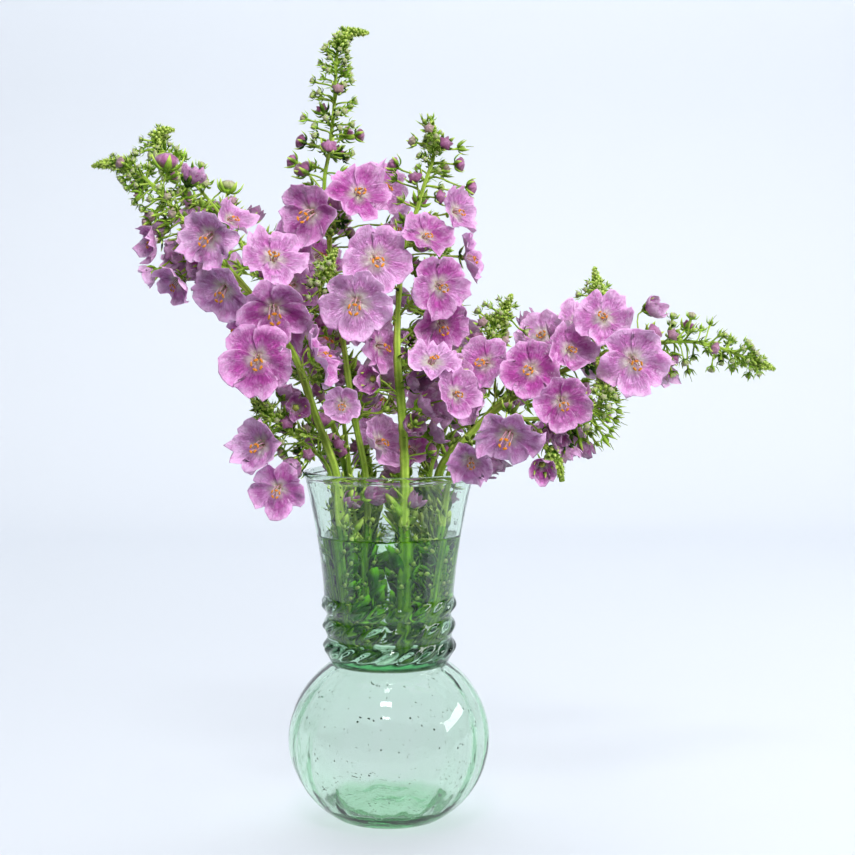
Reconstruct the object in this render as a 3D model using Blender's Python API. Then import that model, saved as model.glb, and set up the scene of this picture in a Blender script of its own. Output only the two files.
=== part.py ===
"""Purple mullein in a ball-footed glass vase.

Twelve cut stems of mullein stand in the closed cup of a blown glass vase. Each
stem carries open flowers, small half-open flowers, buds and spent calyces on
thin stalks, and ends in a cone of green buds. The vase is a hollow ball with a
flared neck above it, and the water stands in the neck only.

All lengths are in millimetres until a mesh is made from them. The vase's foot
is centred on the origin, +Z is up and the front of the bouquet faces -Y.
"""
import math
from collections import namedtuple

import bpy
import numpy as np
from mathutils.bvhtree import BVHTree

MM = 0.001
GAP = 0.3
UP = np.array([0.0, 0.0, 1.0])
GOLDEN = math.radians(137.508)
GOLDEN_SHARE = 0.618
TUBE_GUIDE = np.array([0.9, 0.35, 0.2])

# Vase: an oblate ball cut flat at the foot, and a neck that flares to the rim.
VASE_SIDES = 22
BALL_R = 43.2
BALL_HALF = 40.0
BALL_Z = 34.5
BALL_WALL = 3.2
BASE_THICK = 5.5
CAVITY_TOP = 66.5
WAIST_Z = 67.0
WAIST_CUT = 1.9
NECK_R = 26.9
NECK_STEP = 0.7
FLARE_Z = 88.0
FLARE = 8.9
RIM_Z = 150.0
NECK_WALL = 2.6
RING_Z = 74.4
RING_PITCH = 9.05
RING_H = 1.5
CUP_FLOOR = 71.5
VENT_R = 1.5
VENT_Y = 12.0
WATER_TOP = 122.0

# Stems: straight up to a height above the water, ending in cones of buds whose
# rings stand out and in by turns. Each has a hole in the water a little wider.
STRAIGHT_TO = 128.0
STEM_SIDES = 6
HOLE_GAP = 0.45
CONE_R = 3.1
CONE_RING = 2.3
CONE_OUT = 1.22
CONE_IN = 0.55
CONE_ROOM = (4.0, 4.6, 3.6, 1.4)
SHOOT_R = 1.1

# Flowers: five joined petals, the lowest the largest. A throat, a notch and a
# lobe's size are shares of the corolla's radius. The sepals' top lies a seat's
# depth behind the throat.
PETAL_THICK = 0.85
LOBES = 5
LOBE_SIZE = (1.0, 0.97, 0.88, 0.88, 0.97)
LOBE_CORNERS = (-36.0, -19.0, 19.0)
THROAT = 0.42
NOTCH = 0.27
SEAT = 1.75
SEPAL_R = 4.4
SEPAL_THICK = 0.15
STALK_R = 0.65
STALK_SIDES = 3
LONGEST_STALK = 42.0

# Room kept free round stems and stalks, and round petals. Petals that are
# pressed together still stay clear of each other's middle by the press.
SLEEVE = 0.9
CLEAR = 0.8
PRESS = 2.5

Stem = namedtuple("Stem", "foot radii cone flowers way")
Bloom = namedtuple("Bloom", "stem place face size cup seed")
Stalk = namedtuple("Stalk", "stem path kind size")

# Each stem: where it stands on the cup's floor, its radius at foot and tip, the
# length of its cone of buds, the stretch above the rim that flowers grow on,
# and its way from the rim to the tip.
STEMS = {
    "left_front": Stem((-13, -8), (2.1, 0.9), 17, (70, 165), (
        (-22, -12, 150), (-30, -18, 174), (-38, -20, 198), (-49, -20, 215), (-61, -18, 230),
        (-76, -14, 246), (-93, -8, 264), (-103, -4, 274), (-113, 0, 280), (-126, 4, 279))),
    "left_back": Stem((-12, 6), (1.7, 0.8), 13, (60, 150), (
        (-19, 9, 150), (-29, 16, 179), (-44, 22, 209), (-56, 26, 231), (-68, 28, 251),
        (-81, 28, 268), (-92, 26, 280), (-100, 24, 289), (-100, 22, 295), (-93, 20, 296))),
    "tall_thin": Stem((-7, -4), (1.7, 0.8), 16, (85, 130), (
        (-10, -6, 150), (-15, -11, 177), (-19, -12, 206), (-23, -10, 226), (-25, -6, 250),
        (-27, -2, 271), (-25, 0, 285), (-23, 0, 302), (-22, 0, 317), (-21, 0, 328),
        (-17, 0, 334), (-8, 0, 334))),
    "centre_thick": Stem((5, -12), (2.4, 1.0), 12, (40, 118), (
        (7, -16, 150), (6, -18, 173), (4, -18, 197), (4, -14, 214), (5, -8, 231),
        (7, -6, 247), (11, -6, 257), (15, -6, 270), (19, -6, 283), (18, -6, 297))),
    "mid_short": Stem((-10, 0), (1.4, 0.8), 14, (22, 60), (
        (-17, 2, 150), (-21, 4, 180), (-26, -4, 206), (-28, -20, 222), (-25, -30, 234),
        (-20, -34, 243))),
    "right_small": Stem((10, 3), (1.4, 0.8), 14, (18, 54), (
        (18, 6, 150), (24, 12, 166), (31, 16, 186), (42, 16, 205), (47, 16, 213), (53, 12, 225))),
    "right_upright": Stem((13, 9), (1.7, 0.8), 14, (30, 90), (
        (22, 14, 150), (38, 24, 167), (57, 29, 187), (75, 30, 204), (86, 26, 213),
        (91, 23, 223), (89, 20, 237))),
    "right_long": Stem((13, -2), (2.1, 0.8), 13, (30, 100), (
        (22, -3, 150), (32, -6, 163), (47, -11, 178), (66, -14, 189), (78, -14, 195),
        (93, -14, 201), (111, -12, 204), (123, -10, 205), (133, -8, 204), (143, -6, 201),
        (153, -4, 197), (164, -2, 193))),
    "right_low": Stem((12, -9), (1.7, 0.8), 15, (16, 62), (
        (26, -13, 151), (34, -18, 162), (41, -23, 169), (51, -28, 173), (64, -31, 174),
        (77, -31, 175), (86, -29, 179), (90, -27, 187), (86, -26, 199))),
    "left_low": Stem((-15, -1), (1.5, 0.8), 10, (8, 34), (
        (-26, -2, 151), (-37, -8, 163), (-46, -14, 171), (-57, -18, 182))),
    "back_left": Stem((-6, 11), (1.7, 0.8), 14, (24, 100), (
        (-9, 17, 150), (-18, 28, 175), (-31, 38, 200), (-44, 44, 220), (-57, 46, 237),
        (-69, 45, 250))),
    "back_right": Stem((4, 10), (1.7, 0.8), 14, (24, 96), (
        (8, 16, 150), (12, 29, 178), (16, 39, 204), (20, 45, 227), (22, 47, 246),
        (20, 47, 262))),
}

# Side shoot of a stem, fused to it: it hangs below the rim's right end.
SHOOT_OF = "right_low"
SHOOT_CONE = 13
SHOOT_WAY = ((50, -27.7, 172.6), (58, -34, 168), (65, -38, 162), (69, -39, 156), (71, -38, 149))

# Open flowers of the front and sides: the stem each one grows on, the place of
# its throat, the turn of its face from the front towards the right and its
# lift in degrees, its radius, and how far its petals stand forward in radians.
SHOW_BLOOMS = (
    ("left_front", (-52, -38, 199), (-5, -8), 16.5, 0.22),
    ("left_front", (-45, -40, 217), (8, -18), 16.0, 0.25),
    ("left_front", (-67, -32, 226), (-30, -30), 15.0, 0.30),
    ("left_front", (-46, -32, 239), (15, 38), 15.0, 0.25),
    ("left_back", (-62, 2, 210), (-60, -10), 15.0, 0.30),
    ("left_back", (-41, 6, 229), (20, 8), 14.0, 0.30),
    ("left_front", (-87, -20, 230), (-50, -35), 11.5, 0.45),
    ("left_front", (-97, -14, 247), (-70, -15), 10.5, 0.50),
    ("left_front", (-66, -10, 256), (55, 25), 10.5, 0.50),
    ("tall_thin", (-12, -20, 266), (15, 28), 15.0, 0.25),
    ("tall_thin", (-29, -24, 258), (-28, 5), 15.0, 0.25),
    ("tall_thin", (-41, -10, 246), (-50, 0), 14.0, 0.30),
    ("tall_thin", (-3, 6, 270), (60, 20), 13.5, 0.30),
    ("tall_thin", (-34, -16, 232), (-25, -8), 14.0, 0.30),
    ("centre_thick", (-5, -28, 239), (3, 4), 16.5, 0.20),
    ("centre_thick", (-12, -35, 222), (-6, -14), 16.5, 0.22),
    ("centre_thick", (21, -26, 228), (25, 5), 14.5, 0.25),
    ("centre_thick", (28, -14, 259), (50, 12), 12.0, 0.40),
    ("centre_thick", (33, -6, 243), (80, 0), 12.5, 0.35),
    ("centre_thick", (16, -24, 246), (30, 15), 12.5, 0.30),
    ("centre_thick", (23, -20, 211), (30, -20), 13.5, 0.30),
    ("centre_thick", (18, -30, 197), (15, 50), 12.5, 0.30),
    ("left_back", (-34, 14, 205), (10, 0), 14.0, 0.40),
    ("left_low", (-45, -26, 145), (-12, -12), 13.0, 0.30),
    ("left_low", (-52, -24, 163), (-25, 5), 14.0, 0.30),
    ("right_long", (100, -30, 198), (5, -4), 16.0, 0.22),
    ("right_long", (89, -22, 215), (0, 45), 14.0, 0.30),
    ("right_upright", (66, 14, 207), (-20, 25), 13.0, 0.45),
    ("right_long", (59, -24, 194), (-8, 10), 14.0, 0.35),
    ("right_low", (49, -46, 169), (-20, -35), 15.0, 0.25),
    ("right_long", (40, -14, 197), (-30, 20), 13.0, 0.35),
    ("right_low", (70, -44, 182), (10, -10), 13.0, 0.40),
    ("right_low", (34, -30, 157), (-10, -25), 11.5, 0.40),
    ("tall_thin", (-18, -32, 180), (-5, 0), 9.5, 0.50),
)

# Open flowers that have a second one pressed against their petals' edge: the
# number of the first in the list above, and the side in degrees, from its right
# round over its top.
BESIDE = {
    2: 150, 3: 20, 5: -60, 12: -60, 13: -100, 20: -110, 21: -60, 22: -120, 27: 30, 28: -45,
    30: -120,
}

# Half-open flowers, fused to their stem: stem, place, turn and lift, radius.
SHOW_HALF = (
    ("right_long", (110, -10, 219), (60, 15), 7.0),
    ("left_front", (-73, -32, 238), (-5, -25), 7.5),
    ("right_long", (115, -12, 193), (60, -25), 7.5),
    ("right_low", (62, -46, 159), (0, -30), 7.0),
    ("centre_thick", (-8, -30, 190), (-25, 0), 7.5),
    ("left_low", (-38, -20, 178), (10, 10), 7.0),
)

# Open flowers that a rule sets on each stem's free sides, and small things' spacing.
FILL_BLOOMS = {
    "left_front": 1, "left_back": 2, "tall_thin": 1, "centre_thick": 1, "mid_short": 1,
    "right_small": 1, "right_upright": 1, "right_long": 1, "back_left": 3, "back_right": 3,
}
FILL_REACH = 15.0
FILL_SIZE = 14.5
FILL_CUP = 0.28
MAX_NODES = 46
MAX_PAIRS = 16
SMALL_REACH = 13.0
BUD_SPACING = 9.0
BUD_SIZE = 5.0
SPENT_SPACING = 26.0
SPENT_SIZE = 3.4


def unit(vector):
    """The vector at length one."""
    return vector / np.linalg.norm(vector)


def square_to(axis, guide):
    """Two directions square to the axis, the first as near to the guide as it can be."""
    first = guide - axis * (guide @ axis)
    if np.linalg.norm(first) < 0.05:
        first = np.array([0.0, 1.0, 0.0]) - axis * axis[1]
    first = unit(first)
    return first, np.cross(axis, first)


def smooth_way(points, step, before=None):
    """A curve through the points with one sample about every step."""
    points = np.array(points, float)
    if before is None:
        before = 2 * points[0] - points[1]
    chain = np.vstack([before, points, 2 * points[-1] - points[-2]])
    samples = []
    for a, b, c, d in zip(chain[:-3], chain[1:-2], chain[2:-1], chain[3:]):
        count = max(1, round(np.linalg.norm(c - b) / step))
        t = (np.arange(count) / count)[:, None]
        curve = 2 * b + (c - a) * t + (2 * a - 5 * b + 4 * c - d) * t**2
        samples.append(0.5 * (curve + (3 * b - a - 3 * c + d) * t**3))
    samples.append(points[-1:])
    return np.vstack(samples)


def stem_path(stem, step):
    """A stem's centre line: straight through the water, then its own way."""
    foot = np.array([*stem.foot, CUP_FLOOR + GAP])
    rim = np.array(stem.way[0], float)
    lean = (rim - foot) / (rim[2] - foot[2])
    bend = foot + lean * (STRAIGHT_TO - foot[2])
    before = bend - (rim - bend)
    return np.vstack([foot, smooth_way([bend, *stem.way], step, before)])


def stem_radii(stem, path):
    """A radius for each sample, thinning from the foot to the tip."""
    run = np.concatenate([[0.0], np.cumsum(np.linalg.norm(np.diff(path, axis=0), axis=1))])
    share = run / run[-1]
    return stem.radii[0] + (stem.radii[1] - stem.radii[0]) * share**1.5


class Way:
    """A centre line that is read by its length above the rim."""

    def __init__(self, path):
        self.path = path
        run = np.cumsum(np.linalg.norm(np.diff(path, axis=0), axis=1))
        self.run = np.concatenate([[0.0], run])
        self.rim = np.interp(RIM_Z, path[:3, 2], self.run[:3])
        self.length = self.run[-1] - self.rim

    def point(self, above):
        """The point a length above the rim."""
        run = above + self.rim
        return np.array([np.interp(run, self.run, self.path[:, k]) for k in range(3)])

    def course(self, above):
        """The direction of growth there."""
        return unit(self.point(above + 3.0) - self.point(above - 3.0))

    def nearest(self, place):
        """The length above the rim of the point nearest to a place."""
        run = np.arange(4.0, self.length - 4.0, 1.0)
        points = np.array([self.point(s) for s in run])
        return run[np.argmin(np.linalg.norm(points - place, axis=1))]


def bridge(a, a_count, b, b_count):
    """Triangles between two rings that start at the same side, of any two counts."""
    faces = []
    i = j = 0
    while i < a_count or j < b_count:
        if j == b_count or (i < a_count and (i + 1) * b_count <= (j + 1) * a_count):
            faces.append((a + i, a + (i + 1) % a_count, b + j % b_count))
            i += 1
        else:
            faces.append((a + i % a_count, b + (j + 1) % b_count, b + j))
            j += 1
    return faces


def loft(rings, apex=None):
    """A closed solid through rings of points, its last ring closed flat or to an apex."""
    starts = np.concatenate([[0], np.cumsum([len(ring) for ring in rings])])
    faces = []
    for j in range(1, len(rings[0]) - 1):
        faces.append((0, j + 1, j))
    for i in range(len(rings) - 1):
        faces += bridge(int(starts[i]), len(rings[i]), int(starts[i + 1]), len(rings[i + 1]))
    last, count = int(starts[-2]), len(rings[-1])
    if apex is None:
        faces += [(last, last + j, last + j + 1) for j in range(1, count - 1)]
        return np.vstack(rings), faces
    end = int(starts[-1])
    faces += [(last + j, last + (j + 1) % count, end) for j in range(count)]
    return np.vstack([*rings, apex]), faces


def ring_of(place, first, second, radius, count):
    """Points round a place, the first of them towards the first direction."""
    angle = 2 * math.pi * np.arange(count)[:, None] / count
    return place + radius * (np.cos(angle) * first + np.sin(angle) * second)


def tube_rings(path, radii, sides, first):
    """Rings along a path that don't twist, each square to the path."""
    path = np.asarray(path, float)
    course = np.gradient(path, axis=0)
    course /= np.linalg.norm(course, axis=1)[:, None]
    rings = []
    for point, way, radius in zip(path, course, np.broadcast_to(radii, len(path))):
        first = unit(first - way * (first @ way))
        rings.append(ring_of(point, first, np.cross(way, first), radius, sides))
    return rings


def tube(path, radii, sides):
    """A closed tube round a path, as vertices and triangles."""
    return loft(tube_rings(path, radii, sides, TUBE_GUIDE))


def star_ring(place, face, tips, notches):
    """Ten points, five tips between five notches, each a radius and a height over the place."""
    first, second = square_to(face, UP)
    angle = math.pi * np.arange(2 * LOBES)[:, None] / LOBES
    even = np.arange(2 * LOBES)[:, None] % 2 == 0
    radius = np.where(even, tips[0], notches[0])
    height = np.where(even, tips[1], notches[1])
    return place + radius * (np.cos(angle) * first + np.sin(angle) * second) + height * face


def head_rings(kind, place, face, size, grow):
    """The ring and the top point of what a stalk carries."""
    first, second = square_to(face, UP)
    if kind == "open":
        low = place - (SEAT + SEPAL_THICK + 0.4 * grow) * face
        ring = ring_of(low, first, second, SEPAL_R + grow, LOBES)
        return ring, place - SEAT * face
    if kind == "bud":
        ring = ring_of(place + 0.1 * size * face, first, second, 0.9 * size + grow, LOBES)
        return ring, place + (size + grow) * face
    reach = size + grow
    if kind == "half":
        ring = star_ring(place, face, (reach, 0.8 * size + grow), (0.66 * reach, 0.5 * size))
        return ring, place + (0.3 * size + grow) * face
    ring = star_ring(place, face, (1.25 * reach, 0.3 * size), (0.6 * reach, 0.0))
    return ring, place + (0.8 * size + grow) * face


def flower_stalk(path, kind, place, face, size, grow=0.0):
    """A stalk and what it carries as one closed solid, from its sunk root to its top."""
    first = square_to(face, UP)[0]
    rings = tube_rings(path[::-1], STALK_R + 0.5 * grow, STALK_SIDES, first)[::-1]
    rings = [np.roll(ring[::-1], 1, axis=0) for ring in rings]
    ring, apex = head_rings(kind, place, face, size, grow)
    return loft([*rings, ring], apex)


def lobe_shape(bloom, theta):
    """The corolla's outline and lean at an angle.

    The outline is one lobe's size with a notch at its ends, and the lean is the
    lobe's own angle out of the flower's plane with a wave across the lobe. At a
    notch both lobes have the same value, so the edge is one closed curve.
    """
    rng = np.random.default_rng(bloom.seed)
    leans = bloom.cup + rng.uniform(-0.16, 0.2, LOBES)
    waves = rng.uniform(-0.16, 0.16, LOBES)
    sizes = np.array(LOBE_SIZE) * rng.uniform(0.94, 1.04, LOBES)
    turn = (theta + math.pi / 2) / (2 * math.pi / LOBES) + 0.5
    lobe = np.floor(turn).astype(int) % LOBES
    across = 2 * (turn - np.floor(turn)) - 1
    beside = (lobe + np.where(across > 0, 1, -1)) % LOBES
    share = 0.5 * across**4
    size = sizes[lobe] + (sizes[beside] - sizes[lobe]) * share
    lean = leans[lobe] + (leans[beside] - leans[lobe]) * share
    outline = size * (1.02 - NOTCH * np.abs(across)**6)
    return outline, lean + waves[lobe] * np.sin(math.pi * across)


def bloom_axes(bloom):
    """Directions to the right, up and forward of a flower."""
    first, second = square_to(bloom.face, UP)
    return -second, first, bloom.face


def corolla_front(bloom, rho, theta, grow=0.0):
    """Points of the corolla's front at a share of its radius and an angle."""
    outline, lean = lobe_shape(bloom, theta)
    reach = rho * (outline * bloom.size + grow)
    angle = lean * rho
    right, up, face = bloom_axes(bloom)
    flat = np.cos(theta)[..., None] * right + np.sin(theta)[..., None] * up
    flat = flat * (reach * np.cos(angle))[..., None]
    return bloom.place + flat + (reach * np.sin(angle))[..., None] * face


def corolla(bloom, grow=0.0):
    """An open flower's five joined petals as one closed thin dish.

    A grown dish is larger all round, and stands for the room that a flower needs.
    """
    step = 2 * math.pi / LOBES
    outer = -math.pi / 2 + step * np.arange(LOBES)[:, None] + np.radians(LOBE_CORNERS)
    outer = outer.ravel()
    inner = outer[::len(LOBE_CORNERS)] + 0.5 * step
    front = np.vstack([
        bloom.place[None, :],
        corolla_front(bloom, np.full(len(inner), THROAT), inner, grow),
        corolla_front(bloom, np.ones(len(outer)), outer, grow)])
    thick = max(PETAL_THICK, 0.62 / math.cos(min(bloom.cup + 0.25, 1.2)))
    pad = max(grow, 0.0)
    back = front - (thick + pad) * bloom.face
    back[0] -= 0.5 * bloom.face
    front = front + pad * bloom.face
    half = []
    corners = len(LOBE_CORNERS)
    for i in range(LOBES):
        a, b = 1 + i, 1 + (i + 1) % LOBES
        edge = [1 + LOBES + (corners * i + k) % len(outer) for k in range(corners + 1)]
        half += [(0, a, b), (a, edge[-1], b)]
        half += [(a, edge[k], edge[k + 1]) for k in range(corners)]
    count = len(front)
    faces = half + [(c + count, b + count, a + count) for a, b, c in half]
    for j in range(len(outer)):
        a, b = 1 + len(inner) + j, 1 + len(inner) + (j + 1) % len(outer)
        faces += [(b, a, a + count), (b, a + count, b + count)]
    return np.vstack([front, back]), faces


def stalk_path(root, leave, end, face):
    """A flower's stalk: out of the stem, and into the back of the flower."""
    reach = np.linalg.norm(end - root)
    b = root + leave * 0.4 * reach
    c = end - face * 0.4 * reach
    t = np.linspace(0, 1, 3 if reach < 16.0 else 4)[:, None]
    return (1 - t)**3 * root + 3 * (1 - t)**2 * t * b + 3 * (1 - t) * t**2 * c + t**3 * end


class Room:
    """The room that is taken: a search tree, a box and an owner for each piece."""

    def __init__(self):
        self.trees = []
        self.boxes = []
        self.owners = []

    @staticmethod
    def tree_of(shape):
        """A search tree over a shape's triangles."""
        return BVHTree.FromPolygons(shape[0].tolist(), shape[1])

    def add(self, shape, owner):
        """Take up a shape's room."""
        self.trees.append(self.tree_of(shape))
        self.boxes.append((shape[0].min(axis=0), shape[0].max(axis=0)))
        self.owners.append(owner)

    def free(self, shape, owner=None):
        """Whether a shape crosses nothing, apart from what its owner holds."""
        low, high = shape[0].min(axis=0), shape[0].max(axis=0)
        tree = None
        for other, box, holder in zip(self.trees, self.boxes, self.owners):
            if owner is not None and holder == owner:
                continue
            if (low > box[1]).any() or (high < box[0]).any():
                continue
            tree = tree or self.tree_of(shape)
            if tree.overlap(other):
                return False
        return True


def facing(turn, lift):
    """A direction from its turn to the right of the front and its lift, in degrees."""
    turn, lift = math.radians(turn), math.radians(lift)
    flat = math.cos(lift)
    return np.array([math.sin(turn) * flat, -math.cos(turn) * flat, math.sin(lift)])


def moves():
    """Ways to move a flower a little, the smallest first: forward, aside, up, turned, lifted."""
    options = []
    for ahead in (0, 2, -2, 4, -4, 6, -6, 8, 11):
        for aside, up in ((0, 0), (2.5, 0), (-2.5, 0), (0, 2.5), (0, -2.5), (4, 3), (-4, -3)):
            for turned, lifted in ((0, 0), (12, 0), (-12, 0), (0, 14), (0, -14)):
                cost = abs(ahead) + abs(aside) + abs(up) + 0.15 * (abs(turned) + abs(lifted))
                options.append((cost, ahead, aside, up, turned, lifted))
    return sorted(options)


def turned_face(face, turned, lifted):
    """A direction turned to the right and lifted by a few degrees."""
    turn = math.degrees(math.atan2(face[0], -face[1]))
    lift = math.degrees(math.asin(max(-1.0, min(1.0, face[2]))))
    return facing(turn + turned, max(-85.0, min(85.0, lift + lifted)))


class Bouquet:
    """Places the flowers and stalks so that no piece crosses a piece of another node."""

    def __init__(self):
        self.room = Room()
        self.ways = {name: Way(stem_path(stem, 4.0)) for name, stem in STEMS.items()}
        self.blooms = []
        self.partners = {}
        self.stalks = []
        for name, stem in STEMS.items():
            path = self.ways[name].path
            self.room.add(tube(path, stem_radii(stem, path) + SLEEVE, STEM_SIDES), name)
            self.take_cone(name, path, stem.cone)
        shoot = smooth_way(SHOOT_WAY, 4.0)
        self.room.add(tube(shoot, SHOOT_R + SLEEVE, STEM_SIDES), SHOOT_OF)
        self.take_cone(SHOOT_OF, shoot, SHOOT_CONE)
        self.room.add(lathe([(radius + CLEAR, z) for radius, z in vase_profile()], 24), "vase")

    def take_cone(self, name, path, length):
        """Take up the room of a tip's cone of buds."""
        line = cone_line(path, length + 2.0)
        self.room.add(tube(line, CONE_ROOM, STEM_SIDES), name)

    def grow_stalk(self, stem, place, face, kind, size, dish=None):
        """Find a free stalk from the stem to a flower's back, or None."""
        way = self.ways[stem]
        near = way.nearest(place)
        end = place - face * (SEAT + 2.0 if kind == "open" else 0.5 * size)
        for back in (9.0, 5.0, 13.0, 1.0, 17.0, 22.0, 28.0):
            above = max(3.0, near - back)
            root = way.point(above)
            course = way.course(above)
            outward = unit(place - root)
            for rise in (0.5, 1.2, -0.3):
                leave = unit(outward + rise * course)
                path = stalk_path(root, leave, end, face)
                if np.linalg.norm(end - root) > LONGEST_STALK:
                    continue
                shape = flower_stalk(path, kind, place, face, size, SLEEVE)
                if not self.room.free(shape, stem):
                    continue
                if dish is not None and dish.overlap(Room.tree_of(tube(path[:-1], 1.0, 3))):
                    continue
                self.room.add(shape, stem)
                return Stalk(stem, path, kind, size)
        return None

    def place_bloom(self, stem, place, face, size, cup):
        """Set an open flower and its stalk as near as can be to where it is wanted."""
        seed = 100 + len(self.blooms)
        for scale in (1.0, 0.9, 0.8):
            for _, ahead, aside, up, turned, lifted in moves():
                near = turned_face(face, turned, lifted)
                upward, _ = square_to(near, UP)
                right = np.cross(upward, near)
                spot = place + ahead * near + aside * right + up * upward
                bloom = Bloom(stem, spot, near, size * scale, cup, seed)
                dish = corolla(bloom, CLEAR)
                if not self.room.free(dish):
                    continue
                tree = Room.tree_of(corolla(bloom, 0.2))
                stalk = self.grow_stalk(stem, spot, near, "open", 1.0, tree)
                if stalk is None:
                    continue
                self.take_bloom(bloom, stalk, dish)
                return True
        return False

    def take_bloom(self, bloom, stalk, dish):
        """Keep a flower that has found its place."""
        self.room.add(dish, len(self.blooms))
        self.blooms.append(bloom)
        self.stalks.append((stalk, bloom.place, bloom.face))

    def place_beside(self, number, side):
        """Set a second flower on the same stem whose petals' edges meet those of a first."""
        first = self.blooms[number]
        right, up, face = bloom_axes(first)
        seed = 100 + len(self.blooms)
        own = Room.tree_of(corolla(first))
        core = Room.tree_of(corolla(first, -PRESS))
        size = first.size * 0.92
        for index in range(24):
            angle = math.radians(side + 15 * ((index + 1) // 2) * (-1)**index)
            aside = math.cos(angle) * right + math.sin(angle) * up
            tilt = (0.55, 0.25)[index % 2]
            near = math.cos(tilt) * face + math.sin(tilt) * aside
            apart = first.size * math.cos(first.cup) + size * math.cos(tilt + first.cup)
            drop = size * math.sin(tilt + first.cup) - first.size * math.sin(first.cup)
            for inward in (0.5, 2.0, 3.5):
                spot = first.place + (apart - inward) * aside - drop * face
                bloom = Bloom(first.stem, spot, near, size, first.cup, seed)
                plain = Room.tree_of(corolla(bloom))
                if not plain.overlap(own):
                    continue
                if Room.tree_of(corolla(bloom, -PRESS)).overlap(core):
                    break
                dish = corolla(bloom, CLEAR)
                if not self.room.free(dish, number):
                    continue
                stalk = self.grow_stalk(first.stem, spot, near, "open", 1.0, plain)
                if stalk is not None:
                    self.partners[len(self.blooms)] = number
                    self.take_bloom(bloom, stalk, dish)
                    return True
        return False

    def place_small(self, stem, place, face, kind, size):
        """Set a half-open flower, a bud or an empty calyx and its stalk."""
        for ahead, turned, lifted in ((0, 0, 0), (3, 0, 0), (-3, 0, 0), (2, 20, 0), (2, -20, 0),
                                      (0, 0, 20), (0, 0, -20), (6, 0, 0)):
            near = turned_face(face, turned, lifted)
            spot = place + ahead * near
            stalk = self.grow_stalk(stem, spot, near, kind, size)
            if stalk is not None:
                self.stalks.append((stalk, spot, near))
                return True
        return False

    def rule_place(self, stem, above, index, reach, rise):
        """A place and face round a stem, each one a golden angle on from the last."""
        way = self.ways[stem]
        course = way.course(above)
        first, second = square_to(course, UP)
        angle = GOLDEN * index
        out = math.cos(angle) * first + math.sin(angle) * second
        face = unit(out + rise * course)
        return way.point(above) + reach * face, face


def cone_line(path, length):
    """Four points along the last stretch of a path, from the cone's foot to the tip."""
    run = np.concatenate([[0.0], np.cumsum(np.linalg.norm(np.diff(path, axis=0), axis=1))])
    stations = run[-1] - length * np.array([1.0, 0.66, 0.33, 0.0])
    return np.stack([np.interp(stations, run, path[:, k]) for k in range(3)], axis=1)


def layout():
    """The whole bouquet's flowers and stalks."""
    bouquet = Bouquet()
    for stem, place, (turn, lift), size, cup in SHOW_BLOOMS:
        bouquet.place_bloom(stem, np.array(place, float), facing(turn, lift), size, cup)
    for stem, place, (turn, lift), size in SHOW_HALF:
        bouquet.place_small(stem, np.array(place, float), facing(turn, lift), "half", size)
    fill_blooms(bouquet)
    for number, side in BESIDE.items():
        bouquet.place_beside(number, side)
    for number in range(len(SHOW_BLOOMS), MAX_NODES):
        if len(bouquet.partners) < MAX_PAIRS:
            bouquet.place_beside(number, math.degrees(GOLDEN) * number)
    for name in STEMS:
        fill_small(bouquet, name)
    return bouquet


def fill_blooms(bouquet):
    """Open flowers by rule, one on each stem in turn, on the sides that are free."""
    tried = dict.fromkeys(FILL_BLOOMS, 0)
    for wanted in range(max(FILL_BLOOMS.values())):
        for name, count in FILL_BLOOMS.items():
            if wanted >= count or len(bouquet.blooms) >= MAX_NODES:
                continue
            low, high = STEMS[name].flowers
            for _ in range(8):
                index = tried[name]
                tried[name] += 1
                above = low + (high - low) * (GOLDEN_SHARE * index % 1.0)
                place, face = bouquet.rule_place(name, above, index, FILL_REACH, 0.45)
                if bouquet.place_bloom(name, place, face, FILL_SIZE, FILL_CUP):
                    break


def fill_small(bouquet, name):
    """Buds from the flowers up to the cone, and spent flowers all along the stem."""
    stem = STEMS[name]
    low, high = stem.flowers
    top = bouquet.ways[name].length - stem.cone - 2.0
    index = 0
    for above in np.arange(high - 8.0, top, BUD_SPACING):
        share = (above - high) / max(1.0, top - high)
        size = BUD_SIZE * (1.0 - 0.44 * share)
        reach = SMALL_REACH * (1.0 - 0.46 * share)
        place, face = bouquet.rule_place(name, above, index, reach, 0.9)
        bouquet.place_small(name, place, face, "bud", size)
        index += 1
    for above in np.arange(8.0, high - 8.0, SPENT_SPACING):
        place, face = bouquet.rule_place(name, above, index, SMALL_REACH, 0.7)
        bouquet.place_small(name, place, face, "spent", SPENT_SIZE)
        index += 1


def outer_radius(z):
    """The vase's outer radius at a height: an ellipse, then a ringed and flaring neck."""
    if z < WAIST_Z - 0.5:
        return BALL_R * math.sqrt(max(0.0, 1.0 - ((z - BALL_Z) / BALL_HALF)**2))
    return neck_radius(z) + ring_height(z)


def neck_radius(z):
    """The neck's plain radius: a waist, a step over the rings and a flare to the rim."""
    step = min(1.0, max(0.0, (z - FLARE_Z) / 9.0))
    flare = max(0.0, (z - FLARE_Z) / (RIM_Z - FLARE_Z))
    waist = WAIST_CUT * math.exp(-((z - WAIST_Z) / 2.4)**2)
    return NECK_R + NECK_STEP * step * step * (3 - 2 * step) + FLARE * flare**1.7 - waist


def ring_height(z):
    """How far the three rings stand out of the neck at a height."""
    turns = (z - RING_Z) / RING_PITCH
    if not -0.5 < turns < 2.5:
        return 0.0
    return RING_H * 0.5 * (1 + math.cos(2 * math.pi * turns))


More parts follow.
